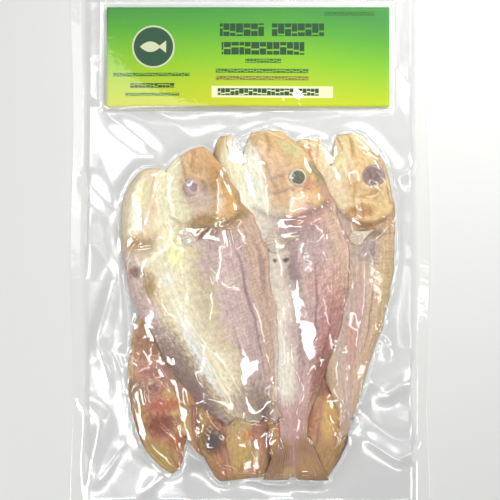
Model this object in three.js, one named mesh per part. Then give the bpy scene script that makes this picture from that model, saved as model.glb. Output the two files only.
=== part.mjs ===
// A vacuum pack of dried threadfin bream, lying on its back with its front up.
//
// Six butterfly-cut fish lie in two layers under one shrunken clear film: three at the
// bottom with their heads towards -Y, and three on top with their heads towards +Y.
// Each was cut along its back and opened flat, so that its belly line runs down its
// middle and its back is its outer edge. A printed card lies in the pack's flat header.
//
// Millimetres. +X is to the right of the pack's front, +Y towards its header, +Z up.
// The origin is on the table, under the middle of the pack.
import * as THREE from "three";

// ---------------------------------------------------------------- driving dimensions
const PACK_WIDTH = 178; // a 7 inch bag
const PACK_LENGTH = 254; // a 10 inch bag
const SEAL_THICKNESS = 0.9; // both films, welded flat along the rim
const EDGE_DRAW = 1.6; // how far the vacuum pulls the long edges in
const TABLE_FILM = 0.4; // the back film, under the lowest fish

const FISH_LENGTH = 172; // snout to the tips of the tail fin
const HEAD_LENGTH = 47; // snout to the rear edge of the gill cover
const GILL_SWEEP = 9; // how far the ends of the gill cover's rear edge curve forward
const SNOUT_SPLIT = 16; // the split head's two snouts part over this length
const SNOUT_MIDDLE = 15; // from the belly line to the inner corner of a snout
const SNOUT_WIDTH = 4; // of its blunt end
const SNOUT_LENGTH = 24; // the tapered part of a head half
const SNOUT_ROUNDING = 3; // the corners of a snout are rounded over this length
const SNOUT_CORNER = 1.6; // and by this much
const SNOUT_BEND = 1.6; // the power of the curve of its outer edge
const SPLIT_BEND = 1.5; // the power of the curve of its inner edge
const NAPE = 33; // from the belly line to the back, where the snout ends
const TAIL_FIN_LENGTH = 24;
const TAIL_FORK = 2.5;
const FIN_TAPER = 5; // over this length the flesh thins out to the tail fin
const FORK_DEPTH = 9; // from the belly line to the fork's inner corners
const RIM_ROUNDING = 3.5; // over this width a fish thins out to its edge
const TIP_ROUNDING = 3; // and over this length at its snout
const SHOULDER = 12; // over this length a head half that is folded under widens
const SHOULDER_START = 0.5; // from this share of its full width
const FLESH_THICKNESS = 4.4; // of a dried half, where it is thickest
const HEAD_THICKNESS = 6.4;
const FIN_THICKNESS = 1.2;
const EYE_BULGE = 1.1;

const CARD_WIDTH = 139;
const CARD_HEIGHT = 49;
const CARD_THICKNESS = 0.5;
const CARD_X = -1;
const CARD_Y = 95;
const CARD_GAP = 0.3; // between the card and the film under it
const CARD_MARGIN = 0.6; // round the card, in its pocket
const POCKET_WALL = 0.7; // how wide the pocket's sloping wall is
const HEADER_BULGE = 3; // the header lifts off the table beside the fish

const FILM_CURVATURE = 0.1; // 1/mm, how hard the vacuum pulls the film into gaps
const FISH_CURVATURE = 0.06; // 1/mm, how far a fish sags over what it lies on

const MAP_PITCH = 1; // of the height map that the pack is worked out on
const MAP_SAMPLES = 3; // points of a fish along each cell of the map
const FISH_ROUNDS = 260; // of relaxation, for what a fish lies on
const FILM_ROUNDS = 500; // and for the film
const MOUND_PITCH = 2.8; // of the solid's facets over the fish
const RIM_PITCH = 5; // of its facets elsewhere
const MOUND = { left: -72, right: 76, bottom: -121, top: 65 };

// ---------------------------------------------------------------- the fish
// [place along the fish from its snout, distance from the belly line to the back]
const TRUNK = [
  [SNOUT_LENGTH, NAPE],
  [45, 37],
  [70, 36],
  [100, 28],
  [125, 17],
  [142, 9],
  [150, 8.5],
  [160, 14.5],
  [FISH_LENGTH, 21],
];

// In the order in which they are laid. route: the belly line from the snout to the tail,
// as the four control points of a curve. left, right: how widely each half lies spread,
// [at the head, in the middle, at the tail]. eye: the half it is in (-1 left, 1 right),
// its place from the snout, its share of the way from the belly line to the back, and
// its radius. split: how deeply its snouts part, as a share. leftFrom: a head half that
// is folded under starts here. until: the rest of the tail is tucked under its
// neighbour, and slant is how much further it shows at its right edge.
const fishes = [
  {
    route: [[-27, -104], [-38, -84], [-36, -40], [-17, 44]],
    left: [0.72, 0.72, 0.4],
    right: [0.4, 0.5, 0.5],
    eye: [-1, 43.5, 0.5, 5],
    split: 0.7,
  },
  {
    route: [[-4, -113], [-8, -78], [-8, -25], [-6, 48]],
    left: [0.6, 0.5, 0.5],
    right: [0.5, 0.5, 0.5],
    eye: [-1, 23, 0.62, 4.9],
    split: 0,
  },
  {
    route: [[24, -112], [27, -73], [26, -25], [36, 44]],
    left: [0.52, 0.5, 0.5],
    right: [0.7, 0.55, 0.5],
    eye: [1, 36, 0.65, 4.4],
    split: 0,
  },
  {
    route: [[38, 56], [44, 10], [46, -40], [49, -108]],
    left: [0.8, 0.7, 0.5],
    right: [0.85, 0.74, 0.5],
    eye: [1, 23, 0.7, 5.8],
    split: 0.35,
    until: 151,
  },
  {
    route: [[-6, 57], [0, 10], [22, -30], [21, -113]],
    left: [0.5, 0.8, 0.7],
    right: [1.05, 1.13, 0.85],
    eye: [1, 28, 0.68, 5.3],
    split: 0.4,
  },
  {
    route: [[-40, 54], [-50, 2], [-14, -52], [16, -108]],
    left: [0.6, 0.8, 1.3],
    right: [1, 1.2, 1.5],
    eye: [1, 24, 0.43, 4.8],
    leftFrom: 14,
    until: 144,
    slant: 6,
  },
];

// Long folds of spare film round the fish: ends, height and half width.
const folds = [
  { from: [-65, -6], to: [-76, -44], height: 3.4, width: 6 },
  { from: [-76, -44], to: [-68, -73], height: 3.4, width: 6 },
  { from: [-84, 38], to: [-64, 16], height: 3.6, width: 7 },
  { from: [-88, -70], to: [-73, -83], height: 3.4, width: 5.5 },
  { from: [-73, -83], to: [-80, -119], height: 3.4, width: 5.5 },
  { from: [-60, -92], to: [-77, -118], height: 3, width: 5 },
  { from: [-41, -107], to: [-54, -121], height: 2.6, width: 4 },
  { from: [52, -88], to: [73, -103], height: 4, width: 6 },
  { from: [73, -103], to: [84, -95], height: 4, width: 6 },
  { from: [62, -74], to: [80, -62], height: 3.6, width: 7 },
  { from: [66, -36], to: [70, -53], height: 3, width: 5 },
  { from: [73, 32], to: [84, 46], height: 2.8, width: 5 },
  { from: [-70, 66], to: [-44, 46], height: 3, width: 7 },
];

// ---------------------------------------------------------------- small helpers
const clamp = (x, low, high) => Math.min(high, Math.max(low, x));
const mix = (a, b, share) => a + (b - a) * share;
const smooth = (x, low, high) => THREE.MathUtils.smoothstep(x, low, high);
const bump = (x, y, size) => Math.exp(-(x * x + y * y) / (size * size));

// The value at a place between [place, value] stations.
function along(stations, place) {
  const found = stations.findIndex(([at]) => at >= place);
  const next = found < 0 ? stations.length - 1 : Math.max(1, found);
  const [a, from] = stations[next - 1];
  const [b, to] = stations[next];
  return mix(from, to, clamp((place - a) / (b - a), 0, 1));
}

// Height of a rounded fold at a point: its own height on its crest, 0 at its half width.
function crest(x, y, { from, to, height, width }) {
  const dx = to[0] - from[0];
  const dy = to[1] - from[1];
  const nearest = ((x - from[0]) * dx + (y - from[1]) * dy) / (dx * dx + dy * dy);
  const share = clamp(nearest, 0, 1);
  const away = Math.hypot(x - from[0] - share * dx, y - from[1] - share * dy);
  return height * Math.max(0, 1 - away / width) ** 1.3;
}

// ---------------------------------------------------------------- the height map
// Heights over the table, on a square grid under the whole pack.
class HeightMap {
  constructor(level) {
    this.columns = PACK_WIDTH / MAP_PITCH + 1;
    this.rows = PACK_LENGTH / MAP_PITCH + 1;
    this.z = new Float64Array(this.columns * this.rows).fill(level);
  }

  copy() {
    const other = new HeightMap(0);
    other.z.set(this.z);
    return other;
  }

  // Sets each cell to what rule gives for its place and present height.
  change(rule) {
    for (let row = 0; row < this.rows; row++)
      for (let column = 0; column < this.columns; column++) {
        const x = column * MAP_PITCH - PACK_WIDTH / 2;
        const y = row * MAP_PITCH - PACK_LENGTH / 2;
        const cell = row * this.columns + column;
        this.z[cell] = rule(x, y, this.z[cell]);
      }
  }

  raise(x, y, height) {
    const column = Math.round((x + PACK_WIDTH / 2) / MAP_PITCH);
    const row = Math.round((y + PACK_LENGTH / 2) / MAP_PITCH);
    const cell = row * this.columns + column;
    this.z[cell] = Math.max(this.z[cell], height);
  }

  at(x, y) {
    const across = clamp((x + PACK_WIDTH / 2) / MAP_PITCH, 0, this.columns - 1.001);
    const up = clamp((y + PACK_LENGTH / 2) / MAP_PITCH, 0, this.rows - 1.001);
    const column = Math.floor(across);
    const cell = Math.floor(up) * this.columns + column;
    const above = cell + this.columns;
    const low = mix(this.z[cell], this.z[cell + 1], across - column);
    const high = mix(this.z[above], this.z[above + 1], across - column);
    return mix(low, high, up - Math.floor(up));
  }

  // A skin stretched over this map: it touches the high places, and between them it
  // hangs with the curvature that pulls it down.
  drape(curvature, rounds) {
    const skin = this.copy();
    const { z } = skin;
    const { columns, rows } = this;
    const drop = (curvature * MAP_PITCH ** 2) / 4;
    for (let round = 0; round < rounds; round++)
      for (let row = 1; row < rows - 1; row++)
        for (let column = 1; column < columns - 1; column++) {
          const cell = row * columns + column;
          const around = z[cell - 1] + z[cell + 1] + z[cell - columns] + z[cell + columns];
          z[cell] = Math.max(this.z[cell], around / 4 - drop);
        }
    return skin;
  }
}

// ---------------------------------------------------------------- one fish
// How much the corners of a snout are rounded off at a place.
const snoutCorner = (place) => SNOUT_CORNER * clamp(1 - place / SNOUT_ROUNDING, 0, 1) ** 2;

// Distance from the belly line to the back: a blunt snout, then the trunk.
function outerEdge(place) {
  if (place >= SNOUT_LENGTH) return along(TRUNK, place);
  const before = 1 - place / SNOUT_LENGTH;
  const rise = NAPE - SNOUT_MIDDLE - SNOUT_WIDTH;
  return NAPE - rise * before ** SNOUT_BEND - snoutCorner(place);
}

// Distance from the belly line at which a half begins: at the snouts and in the fork.
function innerEdge(place) {
  const before = clamp(1 - place / SNOUT_SPLIT, 0, 1);
  const split = SNOUT_MIDDLE * before ** SPLIT_BEND + snoutCorner(place);
  const fork = FORK_DEPTH * clamp((place - FISH_LENGTH + TAIL_FORK) / TAIL_FORK, 0, 1);
  return Math.max(split, fork);
}

// Thickness of a fish at a place along it, and at a share of the way from its belly
// line to its back.
function thickness(place, across) {
  const flank = mix(0.5, 1, smooth(across, 0.05, 0.6)) * mix(1, 0.85, smooth(across, 0.75, 1));
  const body = FLESH_THICKNESS * flank * mix(1, 0.6, smooth(place, 90, 148));
  const cheek = mix(0.55, 1, smooth(across, 0.1, 0.5)) * mix(1, 0.8, smooth(across, 0.75, 1));
  const head = HEAD_THICKNESS * cheek * mix(0.62, 1, smooth(place, 0, 20));
  const gillEdge = HEAD_LENGTH - GILL_SWEEP * (2 * across - 1.1) ** 2;
  const flesh = mix(head, body, smooth(place, gillEdge - 1.5, gillEdge + 1.5));
  const finStart = FISH_LENGTH - TAIL_FIN_LENGTH;
  return mix(flesh, FIN_THICKNESS, smooth(place, finStart, finStart + FIN_TAPER));
}

// How widely a half lies spread at a place. A half that starts late has a round shoulder.
function spreadAt([head, flank, tail], place, from) {
  const wide = along([[20, head], [72, flank], [88, flank], [146, tail]], place);
  const shoulder = Math.sqrt(clamp((place - from) / SHOULDER, 0, 1));
  return from > 0 ? wide * mix(SHOULDER_START, 1, shoulder) : wide;
}

// Lays one fish on the pile.
function layFish(pile, fish) {
  const { route, left, right, eye } = fish;
  const { split = 1, leftFrom = 0, until = FISH_LENGTH, slant = 0 } = fish;
  const bed = pile.drape(FISH_CURVATURE, FISH_ROUNDS);
  const line = new THREE.CubicBezierCurve(...route.map(([x, y]) => new THREE.Vector2(x, y)));
  const steps = (FISH_LENGTH / MAP_PITCH) * MAP_SAMPLES;
  const [eyeSide, eyePlace, eyeAcross, eyeRadius] = eye;
  let eyeAt = [];
  let eyeLeast = Infinity;
  for (let step = 0; step <= steps; step++) {
    const share = step / steps;
    const place = share * FISH_LENGTH;
    const middle = line.getPointAt(share);
    const heading = line.getTangentAt(share);
    for (const [side, shares, from] of [[-1, left, leftFrom], [1, right, 0]]) {
      if (place < from) continue;
      const spread = spreadAt(shares, place, from);
      const reach = outerEdge(place) * spread;
      const start = innerEdge(place) * spread * split;
      const cells = Math.ceil((reach / MAP_PITCH) * MAP_SAMPLES);
      for (let cell = 0; cell <= cells; cell++) {
        const across = cell / cells;
        const last = until + slant * side * across;
        if (across * reach < start || place > last) continue;
        const x = middle.x + side * Math.abs(heading.y) * reach * across;
        const y = middle.y - side * Math.sign(heading.y) * heading.x * reach * across;
        const outer = clamp(((1 - across) * reach) / RIM_ROUNDING, 0, 1);
        const inner = start > 0 ? clamp((across * reach - start) / TIP_ROUNDING, 0, 1) : 1;
        const ends = clamp((place - from) / TIP_ROUNDING, 0, 1) * clamp((last - place) / 2, 0, 1);
        const top = bed.at(x, y) + thickness(place, across) * Math.sqrt(outer * inner * ends);
        pile.raise(x, y, top);
        const fromEye = Math.hypot(place - eyePlace, (across - eyeAcross) * reach);
        if (side === eyeSide && fromEye < eyeLeast) {
          eyeLeast = fromEye;
          eyeAt = [x, y, top];
        }
      }
    }
  }
  const [eyeX, eyeY, eyeZ] = eyeAt;
  pile.change((x, y, height) => {
    const away = Math.hypot(x - eyeX, y - eyeY) / eyeRadius;
    return away < 1 ? Math.max(height, eyeZ + EYE_BULGE * (1 - away ** 2) ** 0.6) : height;
  });
}

// ---------------------------------------------------------------- the pack's surface
// The header film's height over the table: flat at the top seal, lifted near the fish.
const headerHeight = (x, y) =>
  SEAL_THICKNESS + CARD_THICKNESS + HEADER_BULGE * bump((x + 20) / 1.7, y - 68, 27);
const cardUnderside = (x, y) => headerHeight(x, y) - CARD_THICKNESS;

const pocket = {
  left: CARD_X - CARD_WIDTH / 2 - CARD_MARGIN,
  right: CARD_X + CARD_WIDTH / 2 + CARD_MARGIN,
  bottom: CARD_Y - CARD_HEIGHT / 2 - CARD_MARGIN,
  top: CARD_Y + CARD_HEIGHT / 2 + CARD_MARGIN,
};
const isIn = ({ left, right, bottom, top }, x, y, margin) =>
  x > left - margin && x < right + margin && y > bottom - margin && y < top + margin;

function filmMap() {
  const pile = new HeightMap(TABLE_FILM);
  for (const fish of fishes) layFish(pile, fish);
  pile.change((x, y, height) => {
    const rim = Math.min(PACK_WIDTH / 2 - Math.abs(x), PACK_LENGTH / 2 - Math.abs(y));
    const fold = Math.max(...folds.map((one) => crest(x, y, one)));
    const spare = SEAL_THICKNESS + fold * smooth(rim, 1, 9);
    return Math.max(height, spare, isIn(pocket, x, y, 2) ? headerHeight(x, y) : 0);
  });
  return pile.drape(FILM_CURVATURE, FILM_ROUNDS);
}

// Where a point of the grid lies once the vacuum has drawn the long edges in.
function drawnIn(x, y) {
  const wave = 0.5 - 0.5 * Math.cos((4 * Math.PI * (y + PACK_LENGTH / 2)) / PACK_LENGTH);
  const nearRim = smooth(Math.abs(x), MOUND.right, PACK_WIDTH / 2);
  return [x - Math.sign(x) * EDGE_DRAW * wave * nearRim, y];
}

// ---------------------------------------------------------------- facets
// Places from the first mark to the last. A mark is [place, pitch from here on].
function lines(...marks) {
  const places = [];
  marks.slice(0, -1).forEach(([from, pitch], index) => {
    const to = marks[index + 1][0];
    const count = Math.max(1, Math.round((to - from) / pitch));
    for (let step = 0; step < count; step++) places.push(mix(from, to, step / count));
  });
  places.push(marks.at(-1)[0]);
  return places;
}

// A closed solid between two height functions, over a grid of columns and rows. Its
// bottom has facets like its top's, or is filled in flat from its rim alone.
function slab({ columns, rows, top, bottom, isFlat = false, place = (x, y) => [x, y] }) {
  const positions = [];
  const triangles = [];
  for (const height of [top, bottom])
    for (const y of rows)
      for (const x of columns) positions.push(...place(x, y), height(x, y));
  const wide = columns.length;
  const layer = wide * rows.length;
  const quad = (a, b, c, d) => triangles.push(a, b, c, a, c, d);
  for (let row = 0; row < rows.length - 1; row++)
    for (let column = 0; column < wide - 1; column++) {
      const cell = row * wide + column;
      const under = cell + layer;
      quad(cell, cell + 1, cell + wide + 1, cell + wide);
      if (!isFlat) quad(under, under + wide, under + wide + 1, under + 1);
    }
  const rim = [
    ...columns.map((_, column) => column),
    ...rows.slice(1).map((_, row) => (row + 1) * wide + wide - 1),
    ...columns.slice(1).map((_, column) => layer - 2 - column),
    ...rows.slice(2).map((_, row) => layer - (row + 2) * wide),
  ];
  rim.forEach((cell, index) => {
    const next = rim[(index + 1) % rim.length];
    quad(cell, cell + layer, next + layer, next);
  });
  if (isFlat) {
    const outline = rim.map((cell) => new THREE.Vector2(...positions.slice(3 * cell)));
    for (const [a, b, c] of THREE.ShapeUtils.triangulateShape(outline, []))
      triangles.push(rim[a] + layer, rim[c] + layer, rim[b] + layer);
  }
  const geometry = new THREE.BufferGeometry();
  geometry.setAttribute("position", new THREE.Float32BufferAttribute(positions, 3));
  geometry.setIndex(triangles);
  geometry.computeVertexNormals();
  return geometry;
}

// ---------------------------------------------------------------- the pieces
function makeBag() {
  const film = filmMap();
  const geometry = slab({
    columns: lines(
      [-PACK_WIDTH / 2, RIM_PITCH],
      [pocket.left - POCKET_WALL, POCKET_WALL],
      [pocket.left, MOUND_PITCH],
      [pocket.right, POCKET_WALL],
      [pocket.right + POCKET_WALL, MOUND_PITCH],
      [MOUND.right, RIM_PITCH],
      [PACK_WIDTH / 2, 0],
    ),
    rows: lines(
      [-PACK_LENGTH / 2, RIM_PITCH],
      [MOUND.bottom, MOUND_PITCH],
      [MOUND.top, RIM_PITCH],
      [pocket.bottom - POCKET_WALL, POCKET_WALL],
      [pocket.bottom, RIM_PITCH],
      [pocket.top, POCKET_WALL],
      [pocket.top + POCKET_WALL, RIM_PITCH],
      [PACK_LENGTH / 2, 0],
    ),
    top: (x, y) => (isIn(pocket, x, y, 0.01) ? cardUnderside(x, y) - CARD_GAP : film.at(x, y)),
    bottom: () => 0,
    isFlat: true,
    place: drawnIn,
  });
  const clearFilm = new THREE.MeshStandardMaterial({
    color: 0xe9e4d6,
    roughness: 0.2,
    metalness: 0,
    transparent: true,
    opacity: 0.5,
  });
  const bag = new THREE.Mesh(geometry, clearFilm);
  bag.name = "bag";
  return bag;
}

function makeCard() {
  const geometry = slab({
    columns: lines([CARD_X - CARD_WIDTH / 2, RIM_PITCH], [CARD_X + CARD_WIDTH / 2, 0]),
    rows: lines([CARD_Y - CARD_HEIGHT / 2, RIM_PITCH], [CARD_Y + CARD_HEIGHT / 2, 0]),
    top: headerHeight,
    bottom: cardUnderside,
  });
  const print = new THREE.MeshStandardMaterial({
    color: 0x8fcf3c,
    roughness: 0.5,
    metalness: 0,
  });
  const card = new THREE.Mesh(geometry, print);
  card.name = "label_card";
  return card;
}

const pack = new THREE.Group();
pack.add(makeBag(), makeCard());

export default pack;
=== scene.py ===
"""The looks of a clear vacuum pack of dried threadfin bream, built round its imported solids.

The pack lies on its back. +X is to the right of its front, +Y towards its printed header
and +Z up. Sizes are in millimetres until a mesh is made, which is in metres.
"""

from __future__ import annotations

import logging
from dataclasses import dataclass, field, replace
from enum import Enum
from typing import Callable, Sequence

import bmesh
import bpy
import numpy as np
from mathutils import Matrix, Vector
from mathutils.geometry import delaunay_2d_cdt

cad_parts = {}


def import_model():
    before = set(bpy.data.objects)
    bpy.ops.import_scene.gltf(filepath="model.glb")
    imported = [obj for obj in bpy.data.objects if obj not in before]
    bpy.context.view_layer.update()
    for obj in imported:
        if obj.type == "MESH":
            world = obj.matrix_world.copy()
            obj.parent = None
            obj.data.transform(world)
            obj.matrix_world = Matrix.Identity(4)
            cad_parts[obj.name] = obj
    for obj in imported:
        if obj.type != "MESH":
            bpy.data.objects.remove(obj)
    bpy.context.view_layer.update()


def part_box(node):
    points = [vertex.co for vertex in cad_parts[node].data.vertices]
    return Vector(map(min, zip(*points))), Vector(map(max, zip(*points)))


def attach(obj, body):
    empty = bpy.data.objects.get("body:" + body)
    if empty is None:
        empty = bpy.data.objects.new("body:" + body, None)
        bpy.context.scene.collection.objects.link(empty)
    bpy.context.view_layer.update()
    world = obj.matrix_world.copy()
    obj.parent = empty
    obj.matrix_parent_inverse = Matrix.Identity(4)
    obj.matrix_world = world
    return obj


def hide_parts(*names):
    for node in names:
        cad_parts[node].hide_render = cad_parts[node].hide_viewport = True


LOG = logging.getLogger("bream_pack")
MM = 0.001
Array = np.ndarray
Rgb = tuple[int, int, int]
Point = tuple[float, float]
Face = Sequence[int]
Socket = bpy.types.NodeSocket
Node = bpy.types.Node
Tree = bpy.types.NodeTree
Material = bpy.types.Material
Piece = bpy.types.Object


# ---------- numbers and curves
def smooth(value: Array | float, low: float, high: float) -> Array:
    """Rises from 0 at low to 1 at high, without a corner at either end."""
    share = np.clip((np.asarray(value, float) - low) / (high - low), 0.0, 1.0)
    return share * share * (3.0 - 2.0 * share)


def mix(start: Array | float, end: Array | float, share: Array | float) -> Array:
    """The value that is a share of the way from start to end."""
    return start + (end - start) * share


def along(stations: Sequence[Point], place: Array | float) -> Array:
    """The value at a place between (place, value) stations."""
    places, values = zip(*stations)
    return np.interp(place, places, values)


def linear(colour: Rgb) -> tuple[float, float, float, float]:
    """A colour of 0 to 255 as seen on a screen, in the renderer's numbers, quite opaque."""
    seen = np.array(colour) / 255.0
    return (*np.where(seen <= 0.04045, seen / 12.92, ((seen + 0.055) / 1.055) ** 2.4), 1.0)


def ridge(away: Array, width: float) -> Array:
    """A smooth ridge, 1 high where away is 0."""
    return np.exp(-((away / width) ** 2))


class Relief:
    """Seeded smooth random relief over a plane, between about -1 and 1."""

    CELLS = 256
    SHIFT = (37.3, 91.7)
    GAIN = 1.5

    def __init__(self, seed: int) -> None:
        """Draws the slopes of the lattice that the relief is worked out from."""
        turns = np.random.default_rng(seed).random((self.CELLS, self.CELLS)) * 2.0 * np.pi
        self.slopes = np.stack([np.cos(turns), np.sin(turns)])

    def at(self, x: Array, y: Array, wavelength: float) -> Array:
        """The relief at points of the plane.

        Args:
            x: Places across.
            y: Places along, in the same unit.
            wavelength: How far apart its hills are.

        Returns:
            A height for each point.
        """
        across, up = x / wavelength + self.SHIFT[0], y / wavelength + self.SHIFT[1]
        column, row = np.floor(across).astype(int), np.floor(up).astype(int)
        dx, dy = across - column, up - row
        ease_x, ease_y = smooth(dx, 0, 1), smooth(dy, 0, 1)

        def corner(right: int, above: int) -> Array:
            """What one corner of each point's cell adds."""
            cell = ((row + above) % self.CELLS, (column + right) % self.CELLS)
            return self.slopes[0][cell] * (dx - right) + self.slopes[1][cell] * (dy - above)

        low = mix(corner(0, 0), corner(1, 0), ease_x)
        high = mix(corner(0, 1), corner(1, 1), ease_x)
        return mix(low, high, ease_y) * self.GAIN


class Facets:
    """Seeded flat facets over a rectangle, between 0 and 1 high, as stiff film crumples."""

    UNEVEN = 0.95
    PEAKED = 1.5
    SLACK = 1e-9
    SAME_SPOT = 1e-6

    def __init__(self, seed: int, width: float, length: float, spacing: float) -> None:
        """Scatters the corners and joins them into triangles.

        Args:
            seed: Of the random numbers.
            width: Of the rectangle along X, which is centred on the origin.
            length: Along Y.
            spacing: About how far apart the corners are, in the same unit.
        """
        random = np.random.default_rng(seed)
        x, y = np.meshgrid(
            np.arange(-width / 2 - spacing, width / 2 + 2 * spacing, spacing),
            np.arange(-length / 2 - spacing, length / 2 + 2 * spacing, spacing),
        )
        spots = np.stack([x, y], -1).reshape(-1, 2)
        spots = spots + (random.random(spots.shape) - 0.5) * self.UNEVEN * spacing
        heights = random.random(len(spots)) ** self.PEAKED
        joined = delaunay_2d_cdt([Vector(spot) for spot in spots], [], [], 0, self.SAME_SPOT)
        found, self.faces, from_spots = joined[0], joined[2], joined[3]
        self.corners = np.array(
            [(*spot, heights[came[0]]) for spot, came in zip(found, from_spots)]
        )

    def at(self, x: Array, y: Array) -> Array:
        """The height at points of the plane.

        Args:
            x: Places across.
            y: Places along.

        Returns:
            A height for each point, 0 outside the rectangle.
        """
        height = np.zeros_like(x)
        for face in self.faces:
            a, b, c = self.corners[list(face)]
            near = (x >= min(a[0], b[0], c[0])) & (x <= max(a[0], b[0], c[0]))
            near &= (y >= min(a[1], b[1], c[1])) & (y <= max(a[1], b[1], c[1]))
            px, py = x[near], y[near]
            whole = (b[0] - a[0]) * (c[1] - a[1]) - (c[0] - a[0]) * (b[1] - a[1])
            to_b = ((px - a[0]) * (c[1] - a[1]) - (c[0] - a[0]) * (py - a[1])) / whole
            to_c = ((b[0] - a[0]) * (py - a[1]) - (px - a[0]) * (b[1] - a[1])) / whole
            inside = (to_b >= -self.SLACK) & (to_c >= -self.SLACK)
            inside &= to_b + to_c <= 1 + self.SLACK
            flat = a[2] + to_b * (b[2] - a[2]) + to_c * (c[2] - a[2])
            height[near] = np.where(inside, flat, height[near])
        return height


# ---------- sizes
@dataclass(frozen=True)
class PackSizes:
    """The pack's own sizes, in millimetres."""

    width: float
    length: float
    seal: float = 0.9
    edge_draw: float = 1.6
    drawn_from: float = 76.0
    table_film: float = 0.4
    film_curvature: float = 0.1
    fish_curvature: float = 0.06
    pitch: float = 1.0


@dataclass(frozen=True)
class FishSizes:
    """What the fish of the pack measure, in millimetres."""

    length: float = 172.0
    head: float = 47.0
    snout_split: float = 16.0
    snout_middle: float = 15.0
    snout_width: float = 4.0
    snout_length: float = 24.0
    snout_rounding: float = 3.0
    snout_corner: float = 1.6
    nape: float = 33.0
    tail_fin: float = 24.0
    tail_fork: float = 2.5
    fork_depth: float = 9.0
    flesh: float = 4.4
    skull: float = 6.4
    fin: float = 1.2
    gill_bow: float = 9.0
    plate: float = 33.0
    plate_bow: float = 26.0
    mouth: float = 0.62
    mouth_rise: float = 0.016
    mouth_end: float = 15.0
    over_bed: float = 0.1
    pressed: float = 0.6
    widest: float = 38.0
    back_rim: float = 3.5
    inner_rim: float = 3.0
    end_rim: float = 2.0
    tail_rays: int = 10
    ray: float = 0.3
    trunk: tuple[Point, ...] = (
        (24, 33),
        (45, 37),
        (70, 36),
        (100, 28),
        (125, 17),
        (142, 9),
        (150, 8.5),
        (160, 14.5),
        (172, 21),
    )

    def tip(self, place: Array) -> Array:
        """How much the corners of a snout are rounded off at a place."""
        return self.snout_corner * np.clip(1 - place / self.snout_rounding, 0, 1) ** 2

    def outer(self, place: Array) -> Array:
        """Distance from the belly line to the back: a blunt snout, then the trunk.

        Args:
            place: Places along the fish.

        Returns:
            Distances, in millimetres.
        """
        before = 1 - np.minimum(place, self.snout_length) / self.snout_length
        rise = self.nape - self.snout_middle - self.snout_width
        head = self.nape - rise * before**1.6 - self.tip(place)
        return np.where(place < self.snout_length, head, along(self.trunk, place))

    def inner(self, place: Array) -> Array:
        """Distance from the belly line at which a half begins: at the snouts and the fork.

        Args:
            place: Places along the fish.

        Returns:
            Distances, in millimetres.
        """
        before = np.clip(1 - place / self.snout_split, 0, 1)
        split = self.snout_middle * before**1.5 + self.tip(place)
        into_fork = np.clip((place - self.length + self.tail_fork) / self.tail_fork, 0, 1)
        return np.maximum(split, self.fork_depth * into_fork)


FISH = FishSizes()


class Side(Enum):
    """One half of an opened fish, as it lies in the pack."""

    LEFT = -1
    RIGHT = 1


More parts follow.
